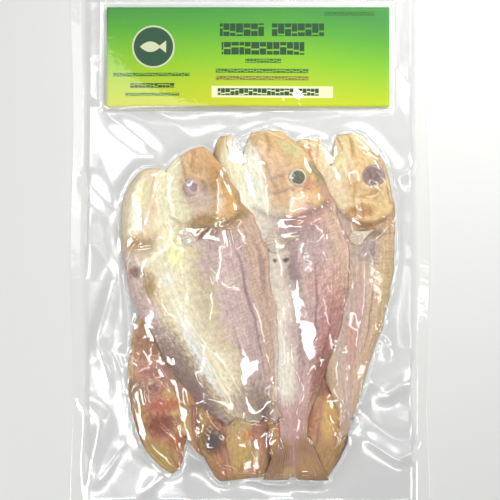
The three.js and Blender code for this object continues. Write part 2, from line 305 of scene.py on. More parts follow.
# ---------- the height map
class HeightMap:
    """Heights over the table, on a square grid under the whole pack."""

    def __init__(self, sizes: PackSizes, level: float) -> None:
        """Starts level.

        Args:
            sizes: The pack's sizes.
            level: The height everywhere, in millimetres.
        """
        self.sizes = sizes
        self.x = np.arange(0, sizes.width + 1e-6, sizes.pitch) - sizes.width / 2
        self.y = np.arange(0, sizes.length + 1e-6, sizes.pitch) - sizes.length / 2
        self.z = np.full((self.y.size, self.x.size), float(level))

    def copy(self) -> "HeightMap":
        """Another map with the same heights."""
        other = HeightMap(self.sizes, 0.0)
        other.z[:] = self.z
        return other

    def raise_to(self, x: Array, y: Array, height: Array) -> None:
        """Lifts the cells under some points to at least those points' heights.

        Args:
            x: Places across.
            y: Places along.
            height: The points' heights.
        """
        column = np.rint((x - self.x[0]) / self.sizes.pitch).astype(int)
        row = np.rint((y - self.y[0]) / self.sizes.pitch).astype(int)
        column = np.clip(column, 0, self.x.size - 1)
        row = np.clip(row, 0, self.y.size - 1)
        np.maximum.at(self.z, (row, column), height)

    def cells(self, x: Array, y: Array, rim: int) -> tuple[Array, Array, Array, Array]:
        """The cells under some points.

        Args:
            x: Places across.
            y: Places along.
            rim: How many cells are left free at the map's rim.

        Returns:
            Their rows and columns, and how far past each row and column a point lies.
        """
        across = np.clip((x - self.x[0]) / self.sizes.pitch, rim, self.x.size - 1.001 - rim)
        up = np.clip((y - self.y[0]) / self.sizes.pitch, rim, self.y.size - 1.001 - rim)
        column, row = across.astype(int), up.astype(int)
        return row, column, up - row, across - column

    def at(self, x: Array, y: Array) -> Array:
        """The height at any points, between the cells.

        Args:
            x: Places across.
            y: Places along.

        Returns:
            A height for each point.
        """
        row, column, past_row, past_column = self.cells(x, y, 0)
        low = mix(self.z[row, column], self.z[row, column + 1], past_column)
        high = mix(self.z[row + 1, column], self.z[row + 1, column + 1], past_column)
        return mix(low, high, past_row)

    def smooth_at(self, x: Array, y: Array) -> Array:
        """The height at any points, with the cells rounded into one smooth surface.

        Args:
            x: Places across.
            y: Places along.

        Returns:
            A height for each point.
        """
        row, column, past_row, past_column = self.cells(x, y, 1)
        from_low, from_left = self.shares(past_row), self.shares(past_column)
        height = np.zeros_like(past_row)
        for above in range(4):
            for right in range(4):
                cell = self.z[row + above - 1, column + right - 1]
                height += from_low[above] * from_left[right] * cell
        return height

    def widen(self) -> None:
        """Widens every hill by a cell."""
        for axis in (0, 1):
            self.z = np.maximum.reduce([np.roll(self.z, step, axis) for step in (-1, 0, 1)])

    def soften(self, rounds: int) -> None:
        """Rounds the hills off: more with each round."""
        for _ in range(rounds):
            for axis in (0, 1):
                self.z = (np.roll(self.z, 1, axis) + 2 * self.z + np.roll(self.z, -1, axis)) / 4

    @staticmethod
    def shares(off: Array) -> tuple[Array, ...]:
        """How much each of four neighbouring cells adds at an offset past the second.

        Args:
            off: How far past the second cell, from 0 to 1.

        Returns:
            Four shares that make 1 together.
        """
        back = 1 - off
        second = (4 - 6 * off**2 + 3 * off**3) / 6
        third = (4 - 6 * back**2 + 3 * back**3) / 6
        return back**3 / 6, second, third, off**3 / 6

    def drape(self, curvature: float, rounds: int = 240, pull: float = 1.86) -> "HeightMap":
        """A skin stretched over this map.

        It touches the high places, and hangs between them with a set curvature.

        Args:
            curvature: How sharply the skin is pulled down between its supports, per mm.
            rounds: Rounds of relaxation.
            pull: How far past its balance each round moves a cell.

        Returns:
            The skin, as a map of its own.
        """
        skin = self.copy()
        z = skin.z
        drop = curvature * self.sizes.pitch**2 / 4
        row, column = np.indices(z.shape)
        inner = np.zeros(z.shape, bool)
        inner[1:-1, 1:-1] = True
        colours = [inner & ((row + column) % 2 == parity) for parity in (0, 1)]
        for _ in range(rounds):
            for cells in colours:
                around = np.zeros_like(z)
                around[1:-1, 1:-1] = z[1:-1, :-2] + z[1:-1, 2:] + z[:-2, 1:-1] + z[2:, 1:-1]
                moved = np.maximum(self.z, z + pull * (around / 4 - drop - z))
                z[cells] = moved[cells]
        return skin


# ---------- meshes
NO_LENGTH = 1e-7  # metres
LARGEST_HOLE = 12  # edges


def make_object(
    name: str,
    vertices: Array,
    faces: Sequence[Face],
    uv: Array | None = None,
    merge: float = 0.0,
) -> Piece:
    """Makes a smooth mesh object in the scene.

    Args:
        name: Its name.
        vertices: Its corners, in millimetres.
        faces: Corner numbers of each face, anticlockwise from outside.
        uv: A flat coordinate for each vertex, if its finish needs one.
        merge: Joins vertices that lie closer than this, in millimetres.

    Returns:
        The object, at the origin.
    """
    mesh = bpy.data.meshes.new(name)
    mesh.from_pydata((np.asarray(vertices) * MM).tolist(), [], [tuple(f) for f in faces])
    if uv is not None:
        layer = mesh.uv_layers.new(name="lay")
        corners = np.zeros(len(mesh.loops), int)
        mesh.loops.foreach_get("vertex_index", corners)
        layer.data.foreach_set("uv", np.asarray(uv, np.float32)[corners].ravel())
    if merge:
        shape = bmesh.new()
        shape.from_mesh(mesh)
        bmesh.ops.remove_doubles(shape, verts=shape.verts, dist=merge * MM)
        bmesh.ops.dissolve_degenerate(shape, edges=shape.edges, dist=NO_LENGTH)
        bmesh.ops.holes_fill(shape, edges=shape.edges, sides=LARGEST_HOLE)
        bmesh.ops.recalc_face_normals(shape, faces=shape.faces)
        if shape.calc_volume(signed=True) < 0:
            bmesh.ops.reverse_faces(shape, faces=shape.faces)
        shape.to_mesh(mesh)
        shape.free()
    mesh.validate()
    mesh.polygons.foreach_set("use_smooth", [True] * len(mesh.polygons))
    thing = bpy.data.objects.new(name, mesh)
    bpy.context.scene.collection.objects.link(thing)
    return thing


def grid_faces(rows: int, columns: int, start: int = 0, flip: bool = False) -> list[Face]:
    """The quads of a grid of vertices, row by row.

    Args:
        rows: Rows of vertices.
        columns: Vertices in a row.
        start: The number of the first vertex.
        flip: Turns the faces over.

    Returns:
        Four vertex numbers for each quad.
    """
    cell = (np.arange(rows - 1)[:, None] * columns + np.arange(columns - 1)[None]).ravel() + start
    quads = np.stack([cell, cell + 1, cell + columns + 1, cell + columns], 1)
    return (quads[:, ::-1] if flip else quads).tolist()


def outline(rows: int, columns: int) -> list[int]:
    """The vertex numbers round the rim of a grid, anticlockwise.

    Args:
        rows: Rows of vertices.
        columns: Vertices in a row.

    Returns:
        Each rim vertex once.
    """
    last = rows * columns - 1
    bottom = [*range(columns)]
    right = [*range(2 * columns - 1, last + 1, columns)]
    top = [*range(last - 1, last - columns, -1)]
    left = [*range(last + 1 - 2 * columns, 0, -columns)]
    return bottom + right + top + left


def slab_faces(rows: int, columns: int, flip: bool = False) -> list[Face]:
    """The quads of a thin slab between two grids of vertices, the first over the second.

    Args:
        rows: Rows of vertices in each.
        columns: Vertices in a row.
        flip: Turns the faces over.

    Returns:
        Four vertex numbers for each quad.
    """
    rim = outline(rows, columns)
    below = rows * columns
    edge = [(one, one + below, two + below, two) for one, two in zip(rim, rim[1:] + rim[:1])]
    if flip:
        edge = [quad[::-1] for quad in edge]
    return grid_faces(rows, columns, 0, flip) + grid_faces(rows, columns, below, not flip) + edge


# ---------- node graphs
class Graph:
    """Writes a material's or a group's nodes in a few words."""

    def __init__(self, tree: Tree) -> None:
        """Starts writing in a tree."""
        self.tree = tree

    def node(self, kind: str, inputs: dict | None = None, **settings: object) -> Node:
        """Adds a node.

        Args:
            kind: Its type's name, without "ShaderNode".
            inputs: Values or sockets for its inputs, by name or number.
            **settings: Its own settings.

        Returns:
            The node.
        """
        made = self.tree.nodes.new("ShaderNode" + kind)
        for key, value in settings.items():
            setattr(made, key, value)
        for key, value in (inputs or {}).items():
            self.feed(made.inputs[key], value)
        return made

    def feed(self, socket: Socket, value: object) -> None:
        """Links a socket into another, or sets its value.

        Args:
            socket: The socket that takes it.
            value: A socket, a number or a colour as seen on a screen.
        """
        if isinstance(value, Socket):
            self.tree.links.new(value, socket)
        elif socket.type == "RGBA" and len(value) == 3:
            socket.default_value = linear(value)
        else:
            socket.default_value = value

    def math(self, operation: str, *values: object) -> Socket:
        """The result of a Math node on values or sockets.

        Args:
            operation: The node's operation.
            *values: Its inputs.

        Returns:
            The result's socket.
        """
        made = self.node("Math", operation=operation)
        for socket, value in zip(made.inputs, values):
            self.feed(socket, value)
        return made.outputs[0]

    def plus(self, first: object, second: object) -> Socket:
        """The sum of two values."""
        return self.math("ADD", first, second)

    def minus(self, first: object, second: object) -> Socket:
        """The first value less the second."""
        return self.math("SUBTRACT", first, second)

    def times(self, first: object, second: object) -> Socket:
        """The product of two values."""
        return self.math("MULTIPLY", first, second)

    def fit(self, value: object, gain: object, start: object) -> Socket:
        """A value times a gain, plus a start."""
        return self.math("MULTIPLY_ADD", value, gain, start)

    def away(self, value: object, middle: object) -> Socket:
        """How far a value is from a middle, without its sign."""
        return self.math("ABSOLUTE", self.minus(value, middle))

    def ease(self, value: object, low: float, high: float, out: Point = (0.0, 1.0)) -> Socket:
        """A smooth step of a value from low to high.

        Args:
            value: The value.
            low: Where the step starts.
            high: Where it ends, on either side of low.
            out: The results at both.

        Returns:
            The result's socket.
        """
        made = self.node("MapRange", interpolation_type="SMOOTHSTEP")
        for socket, item in zip(made.inputs, (value, low, high, *out)):
            self.feed(socket, item)
        return made.outputs[0]

    def blend(self, share: object, under: object, over: object, how: str = "MIX") -> Socket:
        """Two colours mixed.

        Args:
            share: How much of the second there is.
            under: The first colour.
            over: The second.
            how: The Mix node's blend type.

        Returns:
            The mixed colour's socket.
        """
        made = self.node("Mix", data_type="RGBA", blend_type=how)
        self.feed(made.inputs["Factor"], share)
        self.feed(made.inputs[6], under)
        self.feed(made.inputs[7], over)
        return made.outputs[2]

    def ramp(self, value: Socket, *stops: tuple[float, Rgb]) -> Socket:
        """A colour looked up between (place, colour) stops.

        Args:
            value: What the colour is looked up by, from 0 to 1.
            *stops: The stops, in rising order.

        Returns:
            The colour's socket.
        """
        made = self.node("ValToRGB", {"Fac": value})
        points = made.color_ramp.elements
        while len(points) < len(stops):
            points.new(0.5)
        for point, (place, _) in zip(points, stops):
            point.position = place
        for point, (_, colour) in zip(points, stops):
            point.color = linear(colour)
        return made.outputs[0]

    def noise(self, where: Socket, scale: float, detail: float = 3.0, **inputs: float) -> Socket:
        """Smooth noise between 0 and 1.

        Args:
            where: The coordinate that it is read at.
            scale: How fine it is.
            detail: How many finer layers it has.
            **inputs: Other inputs of its node.

        Returns:
            The noise's socket.
        """
        made = self.node("TexNoise", {"Vector": where, "Scale": scale, "Detail": detail})
        for key, value in inputs.items():
            made.inputs[key.capitalize()].default_value = value
        return made.outputs["Fac"]

    def scaled(self, where: Socket, x: float, y: float) -> Socket:
        """A flat coordinate stretched along its axes."""
        return self.node("Mapping", {"Vector": where, "Scale": (x, y, 1.0)}).outputs[0]

    def grey(self, tone: Socket) -> Socket:
        """The grey of a tone, to darken a colour with."""
        return self.node("CombineColor", {0: tone, 1: tone, 2: tone}).outputs[0]

    def bump(self, height: Socket, strength: float, distance: float) -> Socket:
        """A normal tilted by a height in metres times distance."""
        relief = {"Height": height, "Strength": strength, "Distance": distance}
        return self.node("Bump", relief).outputs[0]


def new_material(name: str) -> tuple[Material, Graph, Node]:
    """A material with a Principled shader.

    Args:
        name: The material's name.

    Returns:
        The material, its graph and its Principled node.
    """
    material = bpy.data.materials.new(name)
    material.use_nodes = True
    shader = material.node_tree.nodes["Principled BSDF"]
    return material, Graph(material.node_tree), shader


# ---------- shared effects
def new_group(
    name: str, inputs: dict[str, str], outputs: Sequence[str]
) -> tuple[Graph, dict[str, Socket], Node]:
    """An empty shader node group.

    Args:
        name: Its name.
        inputs: The socket type of each input, such as "Float".
        outputs: Its outputs, which are all numbers.

    Returns:
        Its graph, its inputs as sockets, and its output node.
    """
    tree = bpy.data.node_groups.new(name, "ShaderNodeTree")
    for words, kind in inputs.items():
        tree.interface.new_socket(words, in_out="INPUT", socket_type="NodeSocket" + kind)
    for words in outputs:
        tree.interface.new_socket(words, in_out="OUTPUT", socket_type="NodeSocketFloat")
    entry = tree.nodes.new("NodeGroupInput")
    leave = tree.nodes.new("NodeGroupOutput")
    return Graph(tree), {words: entry.outputs[words] for words in inputs}, leave


class Effects:
    """Shader groups that several finishes share. Each is built once."""

    _made: dict[str, Tree] = {}

    @classmethod
    def place(cls, graph: Graph, name: str, **inputs: object) -> Node:
        """Puts a shared effect in a material.

        Args:
            graph: The material's graph.
            name: The effect: "lay", "patch", "scales" or "face".
            **inputs: Values or sockets for its inputs.

        Returns:
            The group node.
        """
        if name not in cls._made:
            cls._made[name] = getattr(cls, "_" + name)()
        made = graph.tree.nodes.new("ShaderNodeGroup")
        made.node_tree = cls._made[name]
        for key, value in inputs.items():
            graph.feed(made.inputs[key.capitalize()], value)
        return made

    @staticmethod
    def _lay() -> Tree:
        """Where on a fish a point lies, and noises that follow the fish.

        Returns:
            The group's tree.
        """
        names = ("Place", "Signed", "Across", "Past gill", "Cloud", "Streak", "Mottle", "Fine")
        graph, inputs, leave = new_group("fish_lay", {"Map": "Vector", "Shift": "Float"}, names)
        parts = graph.node("SeparateXYZ", {"Vector": inputs["Map"]})
        place = graph.times(parts.outputs["X"], FISH.length)
        signed = graph.fit(parts.outputs["Y"], 2.0, -1.0)
        across = graph.math("ABSOLUTE", signed)
        off = graph.fit(across, 2.0, -1.1)
        edge = graph.fit(graph.times(off, off), -FISH.gill_bow, FISH.head)
        shift = graph.node("CombineXYZ", {0: inputs["Shift"], 1: inputs["Shift"]}).outputs[0]
        moved = graph.node("VectorMath", {0: inputs["Map"], 1: shift}, operation="ADD").outputs[0]
        flat = graph.scaled(moved, FISH.length, 2 * FISH.nape)
        long = graph.scaled(moved, 8.0, 34.0)
        results = {
            "Place": place,
            "Signed": signed,
            "Across": across,
            "Past gill": graph.minus(place, edge),
            "Cloud": graph.noise(flat, 0.07, 2.0),
            "Streak": graph.noise(long, 1.0, 4.0, roughness=0.65, distortion=0.4),
            "Mottle": graph.noise(flat, 0.4, 4.0, roughness=0.65),
            "Fine": graph.noise(flat, 1.6, 3.0, roughness=0.7),
        }
        for words, socket in results.items():
            graph.feed(leave.inputs[words], socket)
        return graph.tree

    @staticmethod
    def _patch() -> Tree:
        """A soft oval mask on a fish, with an uneven rim.

        Returns:
            The group's tree.
        """
        names = ("Place", "Signed", "At", "Off", "Long", "Wide", "Ragged", "Noise")
        graph, inputs, leave = new_group("soft_patch", {n: "Float" for n in names}, ("Mask",))
        run = graph.math("DIVIDE", graph.minus(inputs["Place"], inputs["At"]), inputs["Long"])
        turn = graph.math("DIVIDE", graph.minus(inputs["Signed"], inputs["Off"]), inputs["Wide"])
        square = graph.fit(run, run, graph.times(turn, turn))
        rough = graph.times(graph.minus(inputs["Noise"], 0.5), inputs["Ragged"])
        away = graph.plus(graph.math("SQRT", square), rough)
        graph.feed(leave.inputs["Mask"], graph.ease(away, 1.0, 0.3))
        return graph.tree

    @staticmethod
    def _scales() -> Tree:
        """The rims of scales, in rows along a fish.

        Returns:
            The group's tree.
        """
        names = ("Place", "Signed", "Row", "Column")
        graph, inputs, leave = new_group("scale_rims", {n: "Float" for n in names}, ("Rim",))
        cell = {0: graph.times(inputs["Place"], inputs["Row"])}
        cell[1] = graph.times(inputs["Signed"], inputs["Column"])
        where = graph.node("CombineXYZ", cell).outputs[0]
        inputs = {"Vector": where, "Scale": 1.0, "Randomness": 0.45}
        rims = graph.node("TexVoronoi", inputs, feature="DISTANCE_TO_EDGE").outputs["Distance"]
        graph.feed(leave.inputs["Rim"], graph.ease(rims, 0.16, 0.0))
        return graph.tree

    @staticmethod
    def _face() -> Tree:
        """The dark lines of a head: mouth, jaw and the rims of two cheek plates.

        Returns:
            The group's tree.
        """
        names = ("Place", "Across")
        graph, inputs, leave = new_group("face_lines", {n: "Float" for n in names}, ("Line",))
        place, across = inputs["Place"], inputs["Across"]
        off = graph.minus(across, 0.45)
        bow = graph.fit(graph.times(off, off), FISH.plate_bow, place)
        reach = graph.times(graph.ease(across, 0.2, 0.35), graph.ease(across, 0.9, 0.74))
        line: Socket | float = 0.0
        for rim, share in ((FISH.plate, 1.0), (FISH.plate - 8.0, 0.6)):
            away = graph.away(bow, rim)
            plate = graph.times(graph.ease(away, 1.5, 0.2, out=(0.0, share)), reach)
            line = graph.math("MAXIMUM", line, plate)
        mouth = (FISH.mouth, FISH.mouth_rise, FISH.mouth_end)
        jaw = (0.27, -0.003, 34.0)
        for level, rise, end in (mouth, jaw):
            gape = graph.minus(graph.fit(place, rise, across), level)
            slit = graph.ease(graph.math("ABSOLUTE", gape), 0.045, 0.008)
            slit = graph.times(slit, graph.ease(place, end, end - 4))
            line = graph.math("MAXIMUM", line, slit)
        graph.feed(leave.inputs["Line"], line)
        return graph.tree


# ---------- finishes
@dataclass(frozen=True)
class Patch:
    """A soft oval of another colour on a fish, from its snout and its belly line. A few are
    painted highlights or painted shade rather than the skin's own colour.
    """

    at: float
    off: float
    long: float
    wide: float
    colour: Rgb
    strength: float = 0.85
    ragged: float = 0.9


@dataclass(frozen=True)
class FishFinish:
    """Dried fish: pale along the belly, darker towards the back, tan on the head."""

    name: str
    belly: Rgb
    low_belly: Rgb
    flank: Rgb
    back: Rgb
    rim: Rgb
    throat: Rgb
    cheek: Rgb
    brow: Rgb
    # Brown, for the painted shade at the gill cover's edge and at the head's rim, and for the face
    # lines.
    gill: Rgb
    fin: Rgb
    shift: float = 0.0
    belly_width: float = 0.3
    belly_shift: float = 0.0
    contrast: float = 1.0
    patches: tuple[Patch, ...] = ()

    def material(self) -> Material:
        """Builds the finish. It reads the fish's own map: place along, and side to side.

        Returns:
            The material.
        """
        material, graph, shader = new_material(self.name)
        lay_map = graph.node("UVMap", uv_map="lay").outputs[0]
        lay = Effects.place(graph, "lay", map=lay_map, shift=self.shift).outputs
        wander = graph.fit(graph.plus(lay["Cloud"], lay["Streak"]), 0.5, -0.5)
        past_belly = graph.math("ABSOLUTE", graph.plus(lay["Signed"], self.belly_shift))
        bent = graph.plus(past_belly, wander)
        head = self.head_colours(graph, lay, graph.plus(lay["Across"], wander))
        moved = graph.plus(graph.fit(lay["Mottle"], 4.0, -2.0), lay["Place"])
        lines = Effects.place(graph, "face", place=moved, across=lay["Across"]).outputs[0]
        head = graph.blend(graph.times(lines, 0.55), head, self.gill)
        body = self.body_colours(graph, bent)
        past = graph.plus(lay["Past gill"], graph.fit(lay["Mottle"], 3.0, -1.5))
        colour = graph.blend(graph.ease(past, -0.8, 0.8), head, body)
        # Painted shade: a brown band along the gill cover's rear edge, where the cover overlaps
        # the body.
        near = graph.away(past, 1.5)
        gill = graph.times(graph.ease(near, 6.0, 0.3), graph.ease(lay["Across"], 0.2, 0.45))
        gill = graph.times(gill, graph.ease(lay["Cloud"], 0.25, 0.6))
        colour = graph.blend(gill, colour, self.gill)
        colour = graph.blend(graph.ease(lay["Place"], 146.0, 154.0), colour, self.fin)
        for patch in self.patches:
            oval = {"at": patch.at, "off": patch.off, "long": patch.long, "wide": patch.wide}
            where = {"place": lay["Place"], "signed": lay["Signed"], "noise": lay["Mottle"]}
            mask = Effects.place(graph, "patch", ragged=patch.ragged, **oval, **where).outputs[0]
            colour = graph.blend(graph.times(mask, patch.strength), colour, patch.colour)
        grey = graph.grey(self.tone(graph, lay, past, bent))
        graph.feed(shader.inputs["Base Color"], graph.blend(1.0, colour, grey, "MULTIPLY"))
        graph.feed(shader.inputs["Roughness"], graph.fit(lay["Mottle"], 0.3, 0.42))
        shader.inputs["Specular IOR Level"].default_value = 0.3
        graph.feed(shader.inputs["Normal"], self.relief(graph, lay))
        return material

    def tone(self, graph: Graph, lay: Sequence[Socket], past: Socket, bent: Socket) -> Socket:
        """How light the skin is, in its mottles, streaks, grain and scale rims.

        Args:
            graph: The material's graph.
            lay: The outputs of the shared "lay" effect.
            past: How far behind the gill's uneven edge a point lies.
            bent: Its share of the way from the uneven belly line to the back.

        Returns:
            A tone to multiply the colour with.
        """
        tone = graph.fit(lay["Mottle"], self.contrast, 0.93 - 0.5 * self.contrast)
        fine = graph.fit(lay["Fine"], 0.6 * self.contrast, -0.3 * self.contrast)
        streak = graph.fit(lay["Streak"], 0.7 * self.contrast, -0.35 * self.contrast)
        tone = graph.fit(streak, graph.ease(past, 0.0, 5.0, out=(0.4, 1.0)), tone)
        fine = graph.times(fine, graph.ease(bent, 0.1, 0.5, out=(0.4, 1.0)))
        tone = graph.plus(tone, fine)
        on_belly = graph.ease(bent, 0.35, 0.1)
        on_head = graph.ease(past, 1.0, -1.0, out=(0.0, 0.6))
        tone = graph.fit(graph.math("MAXIMUM", on_belly, on_head), 0.07, tone)
        where = {"place": lay["Place"], "signed": lay["Signed"]}
        marks = Effects.place(graph, "scales", row=0.55, column=19.0, **where).outputs[0]
        marks = graph.times(marks, graph.ease(bent, 0.35, 0.6))
        marks = graph.times(marks, graph.ease(lay["Past gill"], 2.0, 8.0))
        return graph.fit(marks, -0.16, tone)

    def body_colours(self, graph: Graph, bent: Socket) -> Socket:
        """The body's bands, from the belly line to the back.

        Args:
            graph: The material's graph.
            bent: How far a point is from the uneven belly line, as a share.

        Returns:
            The colour's socket.
        """
        wide = self.belly_width
        return graph.ramp(
            bent,
            (0.0, self.belly),
            (wide * 0.7, self.belly),
            (wide * 1.25, self.low_belly),
            (wide * 1.25 + 0.14, self.flank),
            (0.8, self.back),
            (0.9, self.back),
            (0.97, self.rim),
        )

    def head_colours(self, graph: Graph, lay: Sequence[Socket], bent: Socket) -> Socket:
        """The head's bands, darkening to brown at its rim as painted shade, and its darker snout.

        Args:
            graph: The material's graph.
            lay: The outputs of the shared "lay" effect.
            bent: The uneven share of the way to the back.

        Returns:
            The colour's socket.
        """
        # Towards the back rim the bands darken to the gill brown: painted shade at the head's
        # edge.
        bands = graph.ramp(
            bent,
            (0.0, self.throat),
            (0.2, self.throat),
            (0.36, self.cheek),
            (0.62, self.cheek),
            (0.8, self.brow),
            (0.91, self.brow),
            (1.0, self.gill),
        )
        ahead = graph.fit(lay["Streak"], 14.0, lay["Place"])
        snout = graph.times(graph.ease(ahead, 24.0, 8.0), graph.ease(lay["Across"], 0.3, 0.6))
        return graph.blend(snout, bands, self.brow)

    @staticmethod
    def relief(graph: Graph, lay: Sequence[Socket]) -> Socket:
        """Scales in rows, and wrinkles along the body.

        Args:
            graph: The material's graph.
            lay: The outputs of the shared "lay" effect.

        Returns:
            The normal's socket.
        """
        where = {"place": lay["Place"], "signed": lay["Signed"]}
        rims = Effects.place(graph, "scales", row=0.5, column=17.0, **where).outputs[0]
        rims = graph.times(rims, graph.ease(lay["Past gill"], 0.0, 4.0))
        wrinkles = graph.fit(lay["Streak"], 2.2, graph.times(lay["Fine"], 0.7))
        height = graph.fit(rims, -0.2, wrinkles)
        return graph.bump(height, 0.3, 0.0003)


@dataclass(frozen=True)
class EyeFinish:
    """A dried eye: pupil, iris, the ring between them and the lid's rim."""

    name: str
    pupil: Rgb
    iris: Rgb
    ring: Rgb
    lid: Rgb
    pupil_share: float = 0.55
    cloud: float = 0.1

    def material(self) -> Material:
        """Builds the eye. Its map holds the distance from the middle, and the turn.

        Returns:
            The material.
        """
        material, graph, shader = new_material(self.name)
        parts = graph.node("SeparateXYZ", {"Vector": graph.node("UVMap", uv_map="lay").outputs[0]})
        where = graph.node("TexCoord").outputs["Object"]
        ragged = graph.fit(graph.noise(where, 420.0, 3.0), 0.2, -0.1)
        out = graph.plus(parts.outputs["X"], ragged)
        edge = self.pupil_share
        colour = graph.ramp(
            out,
            (0.0, self.pupil),
            (edge - 0.05, self.pupil),
            (edge + 0.05, self.ring),
            (edge + 0.14, self.iris),
            (0.86, self.iris),
            (0.95, self.lid),
        )
        cloud = graph.ease(graph.noise(where, 600.0, 4.0, roughness=0.7), 0.4, 0.7)
        colour = graph.blend(graph.times(cloud, self.cloud), colour, self.ring)
        graph.feed(shader.inputs["Base Color"], colour)
        shader.inputs["Roughness"].default_value = 0.4
        return material


@dataclass(frozen=True)
class FilmFinish:
    """Clear film: the gloss of its two faces, over a faint white haze."""

    name: str = "clear_film"
    haze: float = 0.015
    loose_haze: float = 0.25
    gloss: float = 3.0
    loose_gloss: float = 3.6
    loose_roughness: float = 0.17
    roughness: float = 0.08
    head_on: float = 0.04
    lit_through: float = 0.8

    def material(self) -> Material:
        """Builds the film.

        Returns:
            The material.
        """
        material, graph, shader = new_material(self.name)
        where = graph.node("TexCoord").outputs["Object"]
        broad = graph.noise(where, 45.0, 1.0, distortion=0.6)
        fine = graph.noise(where, 170.0, 1.0, distortion=1.0)
        normal = graph.bump(graph.fit(fine, 0.22, broad), 0.16, 0.0015)
        shader.inputs["Base Color"].default_value = (0.93, 0.95, 0.96, 1.0)
        shader.inputs["Roughness"].default_value = self.roughness
        shader.inputs["IOR"].default_value = 1.5
        graph.feed(shader.inputs["Normal"], normal)
        clear = graph.node("BsdfTransparent", {"Color": (255, 255, 255)}).outputs[0]
        loose = graph.node("SeparateXYZ", {"Vector": graph.node("UVMap", uv_map="lay").outputs[0]})
        rough = graph.fit(loose.outputs["X"], self.loose_roughness, self.roughness)
        mirror = graph.node("BsdfGlossy", {"Color": (255, 255, 255), "Roughness": rough})
        graph.feed(mirror.inputs["Normal"], normal)
        outside = graph.minus(1.0, graph.node("NewGeometry").outputs["Backfacing"])
        in_shadow = graph.node("LightPath").outputs["Is Shadow Ray"]
        outside = graph.times(outside, graph.fit(in_shadow, -self.lit_through, 1.0))
        haze = graph.fit(loose.outputs["X"], self.loose_haze, self.haze)
        haze = graph.times(outside, haze)
        hazy = graph.node("MixShader", {0: haze, 1: clear, 2: shader.outputs[0]}).outputs[0]
        facing = graph.node("LayerWeight", {"Blend": 0.5, "Normal": normal}).outputs["Facing"]
        steep = graph.fit(graph.math("POWER", facing, 5.0), 1 - self.head_on, self.head_on)
        # The film's faces lie in a stack, so each lets less of the light on to the next.
        gloss = graph.fit(loose.outputs["X"], self.gloss * self.loose_gloss, self.gloss)
        stack = graph.fit(steep, graph.minus(gloss, 1.0), 1.0)
        share = graph.math("DIVIDE", graph.times(steep, gloss), stack)
        share = graph.times(share, outside)
        mixed = graph.node("MixShader", {0: share, 1: hazy, 2: mirror.outputs[0]}).outputs[0]
        graph.feed(graph.tree.nodes["Material Output"].inputs["Surface"], mixed)
        return material


def plain(name: str, colour: Rgb, roughness: float) -> Material:
    """A plain finish.

    Args:
        name: The material's name.
        colour: Its colour.
        roughness: Its roughness.

    Returns:
        The material.
    """
    material, _, shader = new_material(name)
    shader.inputs["Base Color"].default_value = linear(colour)
    shader.inputs["Roughness"].default_value = roughness
    return material


@dataclass(frozen=True)
class RayFinish:
    """Fin rays: horn, paler at their tips, with a slow change of tone."""

    name: str
    horn: Rgb
    pale: Rgb

    def material(self) -> Material:
        """Builds the finish.

        Returns:
            The material.
        """
        material, graph, shader = new_material(self.name)
        where = graph.node("TexCoord").outputs["Object"]
        share = graph.ease(graph.noise(where, 160.0, 3.0, roughness=0.6), 0.3, 0.7)
        graph.feed(shader.inputs["Base Color"], graph.blend(share, self.horn, self.pale))
        shader.inputs["Roughness"].default_value = 0.5
        return material


